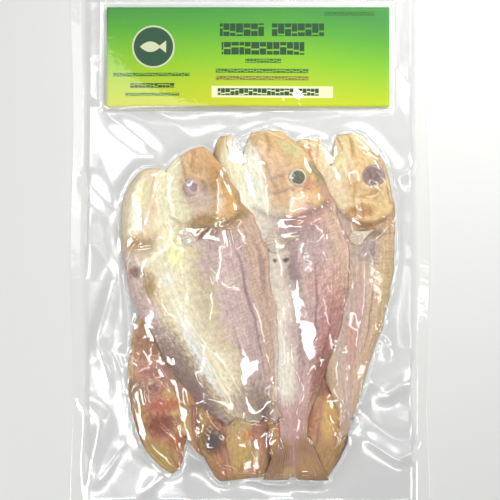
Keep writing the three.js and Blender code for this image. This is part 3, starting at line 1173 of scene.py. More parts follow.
# ---------- ribs along lines
class Ribs:
    """Tapered round ribs along drawn lines, made by one Geometry Nodes tree."""

    _tree: Tree | None = None

    @classmethod
    def tree(cls) -> Tree:
        """The tree. It is built once."""
        if cls._tree is None:
            cls._tree = cls._build_tree()
        return cls._tree

    @staticmethod
    def _build_tree() -> Tree:
        """Builds the tree: lines to curves, thinner towards their ends, with a round section.

        Returns:
            The tree.
        """
        tree = bpy.data.node_groups.new("ribs_along_lines", "GeometryNodeTree")
        numbers = {"Radius": "Float", "Tip share": "Float"}
        for words, kind in {"Lines": "Geometry", **numbers, "Finish": "Material"}.items():
            tree.interface.new_socket(words, in_out="INPUT", socket_type="NodeSocket" + kind)
        tree.interface.new_socket("Ribs", in_out="OUTPUT", socket_type="NodeSocketGeometry")

        def add(kind: str, links: dict, **settings: object) -> Node:
            """Adds a node with its links, values and settings."""
            made = tree.nodes.new(kind)
            for key, value in settings.items():
                setattr(made, key, value)
            for key, value in links.items():
                if isinstance(value, Socket):
                    tree.links.new(value, made.inputs[key])
                else:
                    made.inputs[key].default_value = value
            return made

        entry = add("NodeGroupInput", {}).outputs
        curves = add("GeometryNodeMeshToCurve", {0: entry["Lines"]}).outputs[0]
        share = add("GeometryNodeSplineParameter", {}).outputs["Factor"]
        ends = {"Value": share, "To Min": 1.0, "To Max": entry["Tip share"]}
        taper = add("ShaderNodeMapRange", ends).outputs[0]
        factors = {0: taper, 1: entry["Radius"]}
        size = add("ShaderNodeMath", factors, operation="MULTIPLY").outputs[0]
        sized = add("GeometryNodeSetCurveRadius", {"Curve": curves, "Radius": size}).outputs[0]
        circle = {"Resolution": 6, "Radius": 1.0}
        section = add("GeometryNodeCurvePrimitiveCircle", circle).outputs[0]
        swept = {"Curve": sized, "Profile Curve": section, "Fill Caps": True}
        solid = add("GeometryNodeCurveToMesh", swept)
        if "Scale" in solid.inputs:
            tree.links.new(size, solid.inputs["Scale"])
        real = add("GeometryNodeRealizeInstances", {0: solid.outputs[0]}).outputs[0]
        dressing = {"Geometry": real, "Material": entry["Finish"]}
        dressed = add("GeometryNodeSetMaterial", dressing).outputs[0]
        add("NodeGroupOutput", {0: dressed})
        return tree

    @classmethod
    def grow(
        cls,
        name: str,
        lines: Sequence[Array],
        radius: float,
        tip: float,
        finish: Material,
    ) -> Piece:
        """Makes one object of ribs.

        Args:
            name: Its name.
            lines: The points of each rib's middle line, in millimetres.
            radius: The radius at a rib's start, in millimetres.
            tip: The radius at its end, as a share of that.
            finish: Its material.

        Returns:
            The object, as a plain mesh.
        """
        edges: list[tuple[int, int]] = []
        start = 0
        for line in lines:
            edges += [(start + step, start + step + 1) for step in range(len(line) - 1)]
            start += len(line)
        mesh = bpy.data.meshes.new(name)
        mesh.from_pydata((np.concatenate(lines) * MM).tolist(), edges, [])
        thing = bpy.data.objects.new(name, mesh)
        bpy.context.scene.collection.objects.link(thing)
        modifier = thing.modifiers.new("ribs", "NODES")
        modifier.node_group = cls.tree()
        values = {"Radius": radius * MM, "Tip share": tip, "Finish": finish}
        for item in cls.tree().interface.items_tree:
            if item.in_out == "INPUT" and item.name in values:
                modifier[item.identifier] = values[item.name]
        graph = bpy.context.evaluated_depsgraph_get()
        thing.data = bpy.data.meshes.new_from_object(thing.evaluated_get(graph))
        thing.data.name = name
        thing.modifiers.clear()
        thing.data.polygons.foreach_set("use_smooth", [True] * len(thing.data.polygons))
        return thing


# ---------- one fish
WIDTHS = Relief(21)
WRINKLES = Relief(11)
FURROWS = Relief(12)


@dataclass(frozen=True)
class Eye:
    """A fish's eye, at a place along it and a share of the way to its back."""

    side: Side
    place: float
    across: float
    finish: EyeFinish
    radius: float = 5.2
    bulge: float = 1.1

    RINGS = 16
    TURNS = 44
    ROOT = 2.4  # millimetres under the skin
    GROOVE = 0.84  # share of the way out, inside the lid

    def build(self, name: str, fish: "Fish") -> Piece:
        """Makes the eye as a low dome in a raised lid, sunk in the fish's skin.

        Args:
            name: The piece's name.
            fish: The fish that it belongs to.

        Returns:
            Its object.
        """
        rings, turns = self.RINGS, self.TURNS
        out = np.linspace(0, 1, rings + 1)[:, None]
        turn = np.linspace(0, 2 * np.pi, turns, endpoint=False)[None]
        middle_x, middle_y = fish.points(*self.spot())
        x = middle_x + self.radius * out * np.cos(turn)
        y = middle_y + self.radius * out * np.sin(turn)
        base = fish.top(*self.spot())
        dome = self.bulge * (1 - out**2) ** 0.6 - 0.9 * out**8
        groove = -0.45 * ridge(out - self.GROOVE, 0.06)
        height = base + dome + groove + 0 * turn
        top = np.stack([x, y, height], -1).reshape(-1, 3)
        low = top[-turns:] * (1, 1, 0) + (0, 0, base - self.ROOT)
        faces: list[Face] = []
        for ring in range(rings):
            for one in range(turns):
                two = (one + 1) % turns
                a, b = ring * turns + one, ring * turns + two
                faces.append((a, a + turns, b + turns, b))
        start = top.shape[0]
        for one in range(turns):
            two = (one + 1) % turns
            faces.append((start - turns + one, start + one, start + two, start - turns + two))
        faces.append(tuple(range(start + turns - 1, start - 1, -1)))
        uv = np.stack([out + 0 * turn, turn / (2 * np.pi) + 0 * out], -1).reshape(-1, 2)
        uv = np.concatenate([uv, uv[-turns:]])
        eye = make_object(name, np.concatenate([top, low]), faces, uv, merge=0.01)
        eye.data.materials.append(self.finish.material())
        return eye

    def spot(self) -> tuple[Array, Array, Side]:
        """Its place along the fish, its share of the way across and its half."""
        return np.array(self.place), np.array(self.across), self.side


@dataclass
class SideFin:
    """A fin that lies folded on a fish's flank: its root, its heading and its spread."""

    root: Point
    heading: float
    length: float
    spread: float
    finish: FishFinish
    rays: RayFinish
    thick: float = 0.5
    skin: float = 0.35
    top: Array | None = field(default=None, init=False)

    def surface(self, pile: HeightMap) -> tuple[Array, Array, Array]:
        """Points of its upper face, in rows from its root to its edge.

        Args:
            pile: What lies under the fin.

        Returns:
            Their X, Y and Z.
        """
        out = np.linspace(0, 1, 25)[:, None]
        turn = np.linspace(-1, 1, 29)[None]
        angle = np.radians(self.heading + turn * self.spread * (0.35 + 0.65 * out))
        reach = self.length * out * (1 - 0.22 * turn**2 + 0.03 * np.cos(9 * np.pi * turn))
        x = self.root[0] + reach * np.cos(angle)
        y = self.root[1] + reach * np.sin(angle)
        ripple = 0.16 * np.cos(8 * np.pi * turn) * out
        return x, y, pile.at(x, y) + self.thick * (1.5 - out) + ripple

    def lay(self, pile: HeightMap) -> None:
        """Keeps its surface as it lies now, and lifts the pile to it.

        Args:
            pile: The pack's contents so far.
        """
        x, y, z = self.surface(pile)
        self.top = np.stack([x, y, z], -1)
        pile.raise_to(x.ravel(), y.ravel(), z.ravel())

    def build(self, name: str) -> list[Piece]:
        """Makes the fin's skin as a thin closed mesh, and its rays.

        Args:
            name: The name of the skin.

        Returns:
            Their objects.
        """
        top = self.top
        rows, columns = top.shape[:2]
        low = top - (0, 0, self.skin)
        low[0] = top[0]
        across, place = np.meshgrid(np.linspace(0, 1, columns), np.linspace(0.9, 1, rows))
        uv = np.stack([place, across], -1).reshape(-1, 2)
        both = np.concatenate([top.reshape(-1, 3), low.reshape(-1, 3)])
        faces = slab_faces(rows, columns, flip=True)
        skin = make_object(name, both, faces, np.concatenate([uv, uv]), merge=0.01)
        skin.data.materials.append(self.finish.material())
        lines = [top[2:, column] + (0, 0, 0.05) for column in range(2, columns - 1, 4)]
        return [skin, Ribs.grow(name + "_rays", lines, FISH.ray, 0.35, self.rays.material())]


@dataclass
class Fish:
    """A fish cut along its back and opened flat, its belly line down its middle."""

    name: str
    route: tuple[Point, Point, Point, Point]
    left: tuple[float, float, float]
    right: tuple[float, float, float]
    finish: FishFinish
    eye: Eye
    side_fin: SideFin | None = None
    left_from: float = 0.0
    until: float = FISH.length
    slant: float = 0.0
    split: float = 1.0
    step: float = 1.0
    fine_step: float = 0.35
    bed: HeightMap | None = None

    def __post_init__(self) -> None:
        """Measures the route, so that places along it can be looked up."""
        share = np.linspace(0, 1, 1200)[:, None]
        a, b, c, d = (np.array(point, float)[None] for point in self.route)
        back = 1 - share
        line = back**3 * a + 3 * back**2 * share * b + 3 * back * share**2 * c + share**3 * d
        run = np.concatenate([[0], np.cumsum(np.hypot(*np.diff(line, axis=0).T))])
        self._run = run / run[-1] * FISH.length
        self._line = line
        slope = np.gradient(line, axis=0)
        self._heading = slope / np.hypot(*slope.T)[:, None]

    def spread(self, place: Array, side: Side) -> Array:
        """How widely a half lies spread at places along the fish.

        Args:
            place: Places along the fish from its snout.
            side: Which half.

        Returns:
            Shares of the width of a half that lies quite flat.
        """
        head, flank, tail = self.left if side is Side.LEFT else self.right
        wide = along(((20, head), (72, flank), (88, flank), (146, tail)), place)
        uneven = WIDTHS.at(place, 60 * self.route[0][0] + 9 * side.value, 9.0)
        wide = wide * (1 + 0.035 * uneven * smooth(place, 0, 20))
        if side is Side.RIGHT or not self.left_from:
            return wide
        return wide * (0.5 + 0.5 * np.sqrt(np.clip((place - self.left_from) / 12, 0, 1)))

    def points(self, place: Array, across: Array, side: Side) -> tuple[Array, Array]:
        """Where points of a half lie in the pack.

        Args:
            place: Places along the fish from its snout, in millimetres.
            across: Shares of the way from the belly line to the back.
            side: Which half.

        Returns:
            Their X and Y.
        """
        middle = [np.interp(place, self._run, self._line[:, axis]) for axis in (0, 1)]
        heading = [np.interp(place, self._run, self._heading[:, axis]) for axis in (0, 1)]
        reach = FISH.outer(place) * self.spread(place, side) * across
        x = middle[0] + side.value * np.abs(heading[1]) * reach
        y = middle[1] - side.value * np.sign(heading[1]) * heading[0] * reach
        return x, y

    def thickness(self, place: Array, across: Array) -> Array:
        """How thick the opened fish is at places along it and across it.

        Args:
            place: Places along the fish from its snout.
            across: Shares of the way from the belly line to the back.

        Returns:
            Thicknesses, in millimetres.
        """
        flank = mix(0.5, 1, smooth(across, 0.05, 0.6)) * mix(1, 0.85, smooth(across, 0.75, 1))
        body = FISH.flesh * flank * mix(1, 0.6, smooth(place, 90, 148))
        cheek = mix(0.55, 1, smooth(across, 0.1, 0.5)) * mix(1, 0.8, smooth(across, 0.75, 1))
        head = FISH.skull * cheek * mix(0.62, 1, smooth(place, 0, 20))
        edge = self.gill_edge(across)
        flesh = mix(head, body, smooth(place, edge - 1.5, edge + 1.5))
        fin_start = FISH.length - FISH.tail_fin
        return mix(flesh, FISH.fin, smooth(place, fin_start, fin_start + 5))

    @staticmethod
    def gill_edge(across: Array) -> Array:
        """Where the gill cover ends."""
        return FISH.head - FISH.gill_bow * (2 * across - 1.1) ** 2

    def carving(self, place: Array, across: Array, side: Side) -> Array:
        """Fine relief of the skin: mouth, nostril, eye socket, cheek plates and gill rim.

        Args:
            place: Places along the fish from its snout.
            across: Shares of the way from the belly line to the back.
            side: Which half.

        Returns:
            Heights to add to the skin.
        """
        gill = 0.6 * ridge(place - self.gill_edge(across) + 1.5, 1.3) * smooth(across, 0.12, 0.3)
        plate = place - FISH.plate + FISH.plate_bow * (across - 0.45) ** 2
        cheek = -0.5 * ridge(plate, 1.0) * smooth(across, 0.2, 0.35) * smooth(across, 0.85, 0.7)
        gape = (across - FISH.mouth + FISH.mouth_rise * place) * 26
        mouth = -1.0 * ridge(gape, 1.0) * smooth(place, FISH.mouth_end, FISH.mouth_end - 4)
        lips = 0.5 * ridge(gape - 2.2, 1.2) * smooth(place, 14, 9)
        nostril = -0.7 * ridge(place - 13.5, 0.9) * ridge((across - 0.78) * 30, 1.2)
        total = gill + cheek + mouth + lips + nostril
        if side is self.eye.side:
            reach = FISH.outer(place) * self.spread(place, side)
            away = np.hypot(place - self.eye.place, (across - self.eye.across) * reach)
            total = total + 0.7 * ridge(away - self.eye.radius - 0.9, 1.1)
        wrinkle = WRINKLES.at(place * 0.35, across * 34, 3.2) * smooth(place, 44, 60)
        furrow = FURROWS.at(place, across * 30, 7.0) * smooth(place, 30, 5)
        return (total + 0.08 * wrinkle + 0.3 * furrow) * self.rounding(place, across, side)

    def end(self, across: Array, side: Side) -> Array:
        """Where a half ends: at its tail's edge, or at an uneven tear before that."""
        torn = 0.0 if self.until == FISH.length else 1.3 * np.sin((10 + 2 * side.value) * across)
        return self.until + self.slant * side.value * across + torn

    def rounding(self, place: Array, across: Array, side: Side) -> Array:
        """Falls from 1 to 0 at the rim of a half, over the last few millimetres.

        Args:
            place: Places along the fish from its snout.
            across: Shares of the way from the belly line to the back.
            side: Which half.

        Returns:
            A share for each point.
        """
        wide = self.spread(place, side)
        reach = FISH.outer(place) * wide
        outer = np.clip((1 - across) * reach / FISH.back_rim, 0, 1)
        start = FISH.inner(place) * self.split
        inner = np.clip((across * reach - start * wide) / FISH.inner_rim, 0, 1)
        inner = np.where(start > 0, inner, 1)
        first = self.left_from if side is Side.LEFT else 0.0
        first = np.clip((place - first) / FISH.inner_rim, 0, 1)
        last = np.clip((self.end(across, side) - place) / FISH.end_rim, 0, 1)
        return np.sqrt(outer * inner * (first * last))

    def top(self, place: Array, across: Array, side: Side) -> Array:
        """Height of the fish's upper surface over the table.

        Args:
            place: Places along the fish from its snout.
            across: Shares of the way from the belly line to the back.
            side: Which half.

        Returns:
            Heights, in millimetres.
        """
        x, y = self.points(place, across, side)
        floor = self.bed.at(x, y) + FISH.over_bed
        pressed = mix(1, FISH.pressed, smooth(floor, 8, 15)) * self.rounding(place, across, side)
        return floor + pressed * self.thickness(place, across)

    def halves(self, step: float) -> list[tuple[Side, Array, Array]]:
        """For each half: its side, and the place and across of each point of its grid.

        Args:
            step: About how far apart the points of a grid are.

        Returns:
            Both halves, the left one first.
        """
        grids = []
        for side, start in ((Side.LEFT, self.left_from), (Side.RIGHT, 0.0)):
            rows = int((self.until - start) / step)
            columns = int(FISH.widest * max(self.left if side is Side.LEFT else self.right) / step)
            share = np.linspace(0, 1, columns + 1)[None]
            place = start + (self.end(share, side) - start) * np.linspace(0, 1, rows + 1)[:, None]
            low = self.split * FISH.inner(place) / FISH.outer(place)
            grids.append((side, place, low + (1 - low) * share))
        return grids

    def lay(self, pile: HeightMap) -> None:
        """Lays the fish on the pile, and lifts the pile to its top.

        Args:
            pile: The pack's contents so far.
        """
        self.bed = pile.drape(pile.sizes.fish_curvature)
        for side, place, across in self.halves(self.fine_step):
            x, y = self.points(place, across, side)
            skin = self.top(place, across, side) + np.maximum(self.carving(place, across, side), 0)
            pile.raise_to(x.ravel(), y.ravel(), skin.ravel())
        x, y = self.points(*self.eye.spot())
        away = np.hypot(*np.meshgrid(pile.x - x, pile.y - y)) / self.eye.radius
        dome = self.top(*self.eye.spot()) + self.eye.bulge * np.clip(1 - away**2, 0, 1) ** 0.6
        pile.z = np.where(away < 1, np.maximum(pile.z, dome), pile.z)
        if self.side_fin:
            self.side_fin.lay(pile)

    def tail_rays(self) -> list[Array]:
        """The middle lines of the rays of the tail fin, on its upper surface.

        Returns:
            A line of points for each ray.
        """
        lines = []
        for side in Side:
            for across in np.linspace(0.08, 0.96, FISH.tail_rays):
                start = FISH.length - FISH.tail_fin + 6
                notch = max(0.0, 1 - across * FISH.trunk[-1][1] / FISH.fork_depth)
                end = FISH.length - 1 - FISH.tail_fork * notch
                place = np.linspace(start, end, 14)
                shares = across + 0 * place
                x, y = self.points(place, shares, side)
                lines.append(np.stack([x, y, self.top(place, shares, side) + 0.06], -1))
        return lines

    def build(self) -> list[Piece]:
        """Makes the fish as one closed mesh, and its eye and fins.

        Returns:
            Their objects.
        """
        vertices: list[Array] = []
        maps: list[Array] = []
        faces: list[Face] = []
        for side, place, across in self.halves(self.step):
            x, y = self.points(place, across, side)
            floor = self.bed.at(x, y) + FISH.over_bed
            top = self.top(place, across, side) + self.carving(place, across, side)
            for height, is_under in ((np.maximum(top, floor), False), (floor, True)):
                start = sum(len(part) for part in vertices)
                faces += grid_faces(*place.shape, start, flip=(side is Side.RIGHT) != is_under)
                vertices.append(np.stack([x, y, height], -1).reshape(-1, 3))
                lay = np.stack([place / FISH.length, 0.5 + 0.5 * side.value * across], -1)
                maps.append(lay.reshape(-1, 2))
        skin, lay = np.concatenate(vertices), np.concatenate(maps)
        fish = make_object(self.name, skin, faces, lay, merge=0.02)
        fish.data.materials.append(self.finish.material())
        pieces = [fish, self.eye.build(self.name + "_eye", self)]
        if self.until == FISH.length:
            rays = RayFinish(self.name + "_horn", self.finish.fin, self.finish.gill).material()
            lines = self.tail_rays()
            pieces.append(Ribs.grow(self.name + "_tail_rays", lines, FISH.ray, 0.22, rays))
        if self.side_fin:
            pieces += self.side_fin.build(self.name + "_side_fin")
        return pieces


# ---------- the film
class Crest(Enum):
    """How a fold of film ends at its top."""

    SHARP = 1
    ROUND = 2


@dataclass(frozen=True)
class Fold:
    """A long fold of film: its corners, its height and its half width."""

    corners: tuple[Point, ...]
    height: float
    width: float
    crest: Crest = Crest.SHARP

    def at(self, x: Array, y: Array) -> Array:
        """Its height at points of the pack: its own on its crest, 0 at its half width.

        Args:
            x: Places across.
            y: Places along.

        Returns:
            A height for each point.
        """
        most = np.zeros_like(x)
        run = sum(np.hypot(c - a, d - b) for (a, b), (c, d) in zip(self.corners, self.corners[1:]))
        done = 0.0
        for (x0, y0), (x1, y1) in zip(self.corners, self.corners[1:]):
            dx, dy = x1 - x0, y1 - y0
            share = np.clip(((x - x0) * dx + (y - y0) * dy) / (dx * dx + dy * dy), 0, 1)
            away = np.hypot(x - x0 - share * dx, y - y0 - share * dy) / self.width
            place = done + share * np.hypot(dx, dy)
            fade = smooth(np.minimum(place, run - place), -0.1 * run, 0.3 * run)
            slope = np.clip(1 - away, 0, 1)
            shape = slope if self.crest is Crest.SHARP else (1 - (1 - slope) ** 2) ** 2
            most = np.maximum(most, shape * fade)
            done += np.hypot(dx, dy)
        return self.height * most


SPARE_FOLDS = (
    Fold(((-64, -4), (-75, -44), (-67, -73)), 3.2, 5),
    Fold(((-84, 38), (-64, 16)), 3.2, 5),
    Fold(((-88, -70), (-73, -83), (-80, -119)), 3.2, 4),
    Fold(((-60, -92), (-77, -118)), 2.8, 3.5),
    Fold(((-41, -107), (-54, -121)), 2.6, 3),
    Fold(((52, -88), (73, -103), (84, -95)), 3.6, 4),
    Fold(((62, -74), (80, -62)), 3.2, 5),
    Fold(((66, -36), (70, -53)), 2.6, 3.5),
    Fold(((73, 32), (84, 46)), 2.6, 4),
    Fold(((-72, 68), (-44, 46)), 2.8, 5),
)

TIGHT_FOLDS = tuple(
    Fold(corners, height, width, Crest.ROUND)
    for height, width, corners in (
        (1.5, 3.4, ((-33, -35), (-22, -51), (-5, -73))),
        (1.0, 3.6, ((-20, -10), (-17, -34))),
        (0.9, 2.2, ((-13.5, 20), (-9, -2))),
        (1.3, 2.6, ((17.5, -24), (17, -62))),
        (1.1, 2.4, ((36.5, 2), (40, -20))),
        (1.1, 2.0, ((9, -52), (15, -72), (20.5, -84))),
        (1.3, 2.6, ((33, -56), (28, -68), (23, -80))),
        (1.0, 2.2, ((56, 9), (58, -4))),
        (0.9, 2.0, ((45, -17), (48, -30))),
        (1.0, 1.8, ((54, 53), (72, 26), (73, -8), (62, -48), (48, -90))),
        (1.0, 4.0, ((-53, -17), (-43, -37))),
        (1.2, 1.8, ((-63, -6), (-60, -38), (-56, -45))),
        (1.2, 2.0, ((-52, -63), (-50, -75), (-36, -92))),
        (1.6, 3.0, ((-64, -48), (-55, -54))),
        (1.6, 3.0, ((-49, -45), (-47, -54))),
        (1.2, 2.0, ((-34, -63), (-32, -74), (-22, -82), (-14, -92))),
        (1.4, 5.0, ((18, 78), (25, 71))),
        (1.3, 1.6, ((34, 24), (41, -5), (46, -24))),
        (1.3, 1.6, ((36, 28), (48.5, 5), (51, -24))),
        (1.0, 1.6, ((-50, 12), (-44, 36), (-26, 54))),
        (1.0, 1.6, ((-14, 52), (6, 60), (30, 50), (50, 56), (60, 48))),
        (0.8, 1.6, ((-40, 16), (-28, 4), (-30, -12))),
        (0.9, 1.8, ((46, -78), (42, -92))),
        (1.2, 1.5, ((-67, -49), (-60, -66), (-56, -85))),
        (1.2, 1.5, ((-52, -46), (-46, -58), (-40, -66))),
        (1.2, 1.4, ((-44, -72), (-34, -85), (-31, -94))),
        (1.1, 1.4, ((-19, -92), (-12, -86), (-2, -90), (2, -102))),
        (1.1, 1.4, ((-17, -104), (-7, -109), (10, -111), (34, -110))),
        (1.1, 1.4, ((11, -87), (15, -97), (12, -109))),
        (1.1, 1.4, ((39, -80), (44, -90), (46, -100))),
        (1.1, 1.6, ((51, -49), (47, -68), (44, -80))),
        (1.0, 1.5, ((53, 50), (66, 42), (73, 29))),
        (1.0, 1.5, ((-53, 8), (-61, -5), (-63, -16))),
    )
)


@dataclass
class Film:
    """The clear bag, drawn tight over the fish and welded flat round them."""

    sizes: PackSizes
    pile: HeightMap
    header: Callable[[Array, Array], Array]
    finish: FilmFinish = FilmFinish()
    clearance: float = 0.25
    pitch: float = 0.72
    side_seal: float = 5.8
    seeds: tuple[int, int] = (5, 6)
    shard: float = 28.0
    shard_height: float = 4.2
    sliver: float = 10.0
    sliver_height: float = 0.5

    def surface(self) -> HeightMap:
        """Stretches the film over the fish, the folds and the header.

        Returns:
            The film's front, without its crumples.
        """
        close, under = self.pile.copy(), self.pile.copy()
        close.soften(1)
        under.widen()
        under.soften(8)
        x, y = np.meshgrid(under.x, under.y)
        rim = np.minimum(self.sizes.width / 2 - np.abs(x), self.sizes.length / 2 - np.abs(y))
        fold = np.max([fold.at(x, y) for fold in SPARE_FOLDS], axis=0)
        spare = self.sizes.seal + fold * smooth(rim, 1, 9)
        tops = (under.z + self.clearance, close.z + 2 * self.clearance, spare, self.header(x, y))
        under.z = np.maximum.reduce(tops)
        front = under.drape(self.sizes.film_curvature, 400)
        front.soften(2)
        return front

    def heights(self, x: Array, y: Array) -> tuple[Array, Array]:
        """The front film's height at points of the pack, and how loosely it hangs there.

        Args:
            x: Places across.
            y: Places along.

        Returns:
            Heights over the table, with all crumples, and shares of 1.
        """
        front = self.surface()
        inside = self.sizes.width / 2 - self.side_seal
        rim = np.minimum(inside - np.abs(x), self.sizes.length / 2 - np.abs(y))
        gap = front.smooth_at(x, y) - self.pile.smooth_at(x, y) - self.clearance
        flange = smooth(self.pile.smooth_at(x, y), 1.2, 0.5)
        free = smooth(rim, 0, 5) * (self.header(x, y) == 0)
        loose = np.maximum(0.4 * smooth(gap, 0.2, 1.5), flange) * free
        width, length = self.sizes.width, self.sizes.length
        shards = Facets(self.seeds[0], width, length, self.shard).at(x + 0.2 * y, y)
        slivers = Facets(self.seeds[1], width, length, self.sliver).at(x, y)
        crumples = self.shard_height * shards + self.sliver_height * slivers
        tight = np.max([fold.at(x, y) for fold in TIGHT_FOLDS], axis=0)
        return front.smooth_at(x, y) + crumples * loose + tight, flange * free

    def build(self) -> Piece:
        """Makes the bag as one closed mesh, with its crumpled front and its flat back.

        Returns:
            Its object.
        """
        width, length = self.sizes.width, self.sizes.length
        columns, rows = int(width / self.pitch) + 1, int(length / self.pitch) + 1
        x = np.linspace(-width / 2, width / 2, columns)
        x, y = np.meshgrid(x, np.linspace(-length / 2, length / 2, rows))
        height, loose = self.heights(x, y)
        wave = 0.5 - 0.5 * np.cos(4 * np.pi * (y + length / 2) / length)
        near_edge = smooth(np.abs(x), self.sizes.drawn_from, width / 2)
        x = x - np.sign(x) * self.sizes.edge_draw * wave * near_edge
        top = np.stack([x, y, height], -1).reshape(-1, 3)
        border = outline(rows, columns)
        under = top[border] * (1, 1, 0)
        start = columns * rows
        faces = grid_faces(rows, columns)
        count = len(border)
        for one in range(count):
            two = (one + 1) % count
            faces.append((border[one], start + one, start + two, border[two]))
        # The back is flat, so each of its rows of quads runs from edge to edge.
        right = start + columns - 1 + np.arange(rows)
        last = 2 * columns + rows - 3
        left = start + np.concatenate([[0], count - np.arange(1, rows - 1), [last]])
        for row in range(1, rows - 2):
            faces.append((left[row], left[row + 1], right[row + 1], right[row]))
        faces.append((left[1], right[1], *range(right[0], start - 1, -1)))
        faces.append((*range(right[-1], left[-1] + 1), left[-2], right[-2]))
        milky = np.stack([loose, 0 * loose], -1).reshape(-1, 2)
        points, looseness = np.concatenate([top, under]), np.concatenate([milky, milky[border]])
        bag = make_object("film", points, faces, looseness)
        bag.data.materials.append(self.finish.material())
        return bag


# ---------- the card
@dataclass(frozen=True)
class Bar:
    """A printed bar: its middle, from the card's, and its half sizes, in millimetres."""

    x: float
    y: float
    half_width: float
    half_height: float
    colour: Rgb
    stroke: float = 0.0


INK = (16, 78, 24)
LEAF_INK = (50, 118, 30)
RUST_INK = (140, 128, 40)
BAND = (255, 255, 200)

CARD_BARS = (
    Bar(-3.0, 13.4, 11.0, 3.3, INK, 3.4),
    Bar(24.6, 13.4, 13.0, 3.3, INK, 3.4),
    Bar(7.4, 4.2, 20.5, 3.3, INK, 3.4),
    Bar(7.5, -2.0, 9.0, 1.2, LEAF_INK, 1.6),
    Bar(7.0, -7.0, 23.0, 1.2, LEAF_INK, 1.6),
    Bar(7.0, -10.6, 23.0, 1.2, RUST_INK, 1.6),
    Bar(12.0, -17.4, 30.0, 3.0, BAND),
    Bar(10.0, -17.4, 25.0, 1.9, INK, 2.2),
    Bar(50.0, 21.3, 12.5, 1.1, LEAF_INK, 1.8),
    Bar(-47.5, -8.8, 19.0, 1.0, LEAF_INK, 1.6),
    Bar(-47.0, -14.2, 11.0, 1.3, INK, 2.0),
    Bar(-47.0, -18.6, 13.5, 0.9, LEAF_INK, 1.6),
)


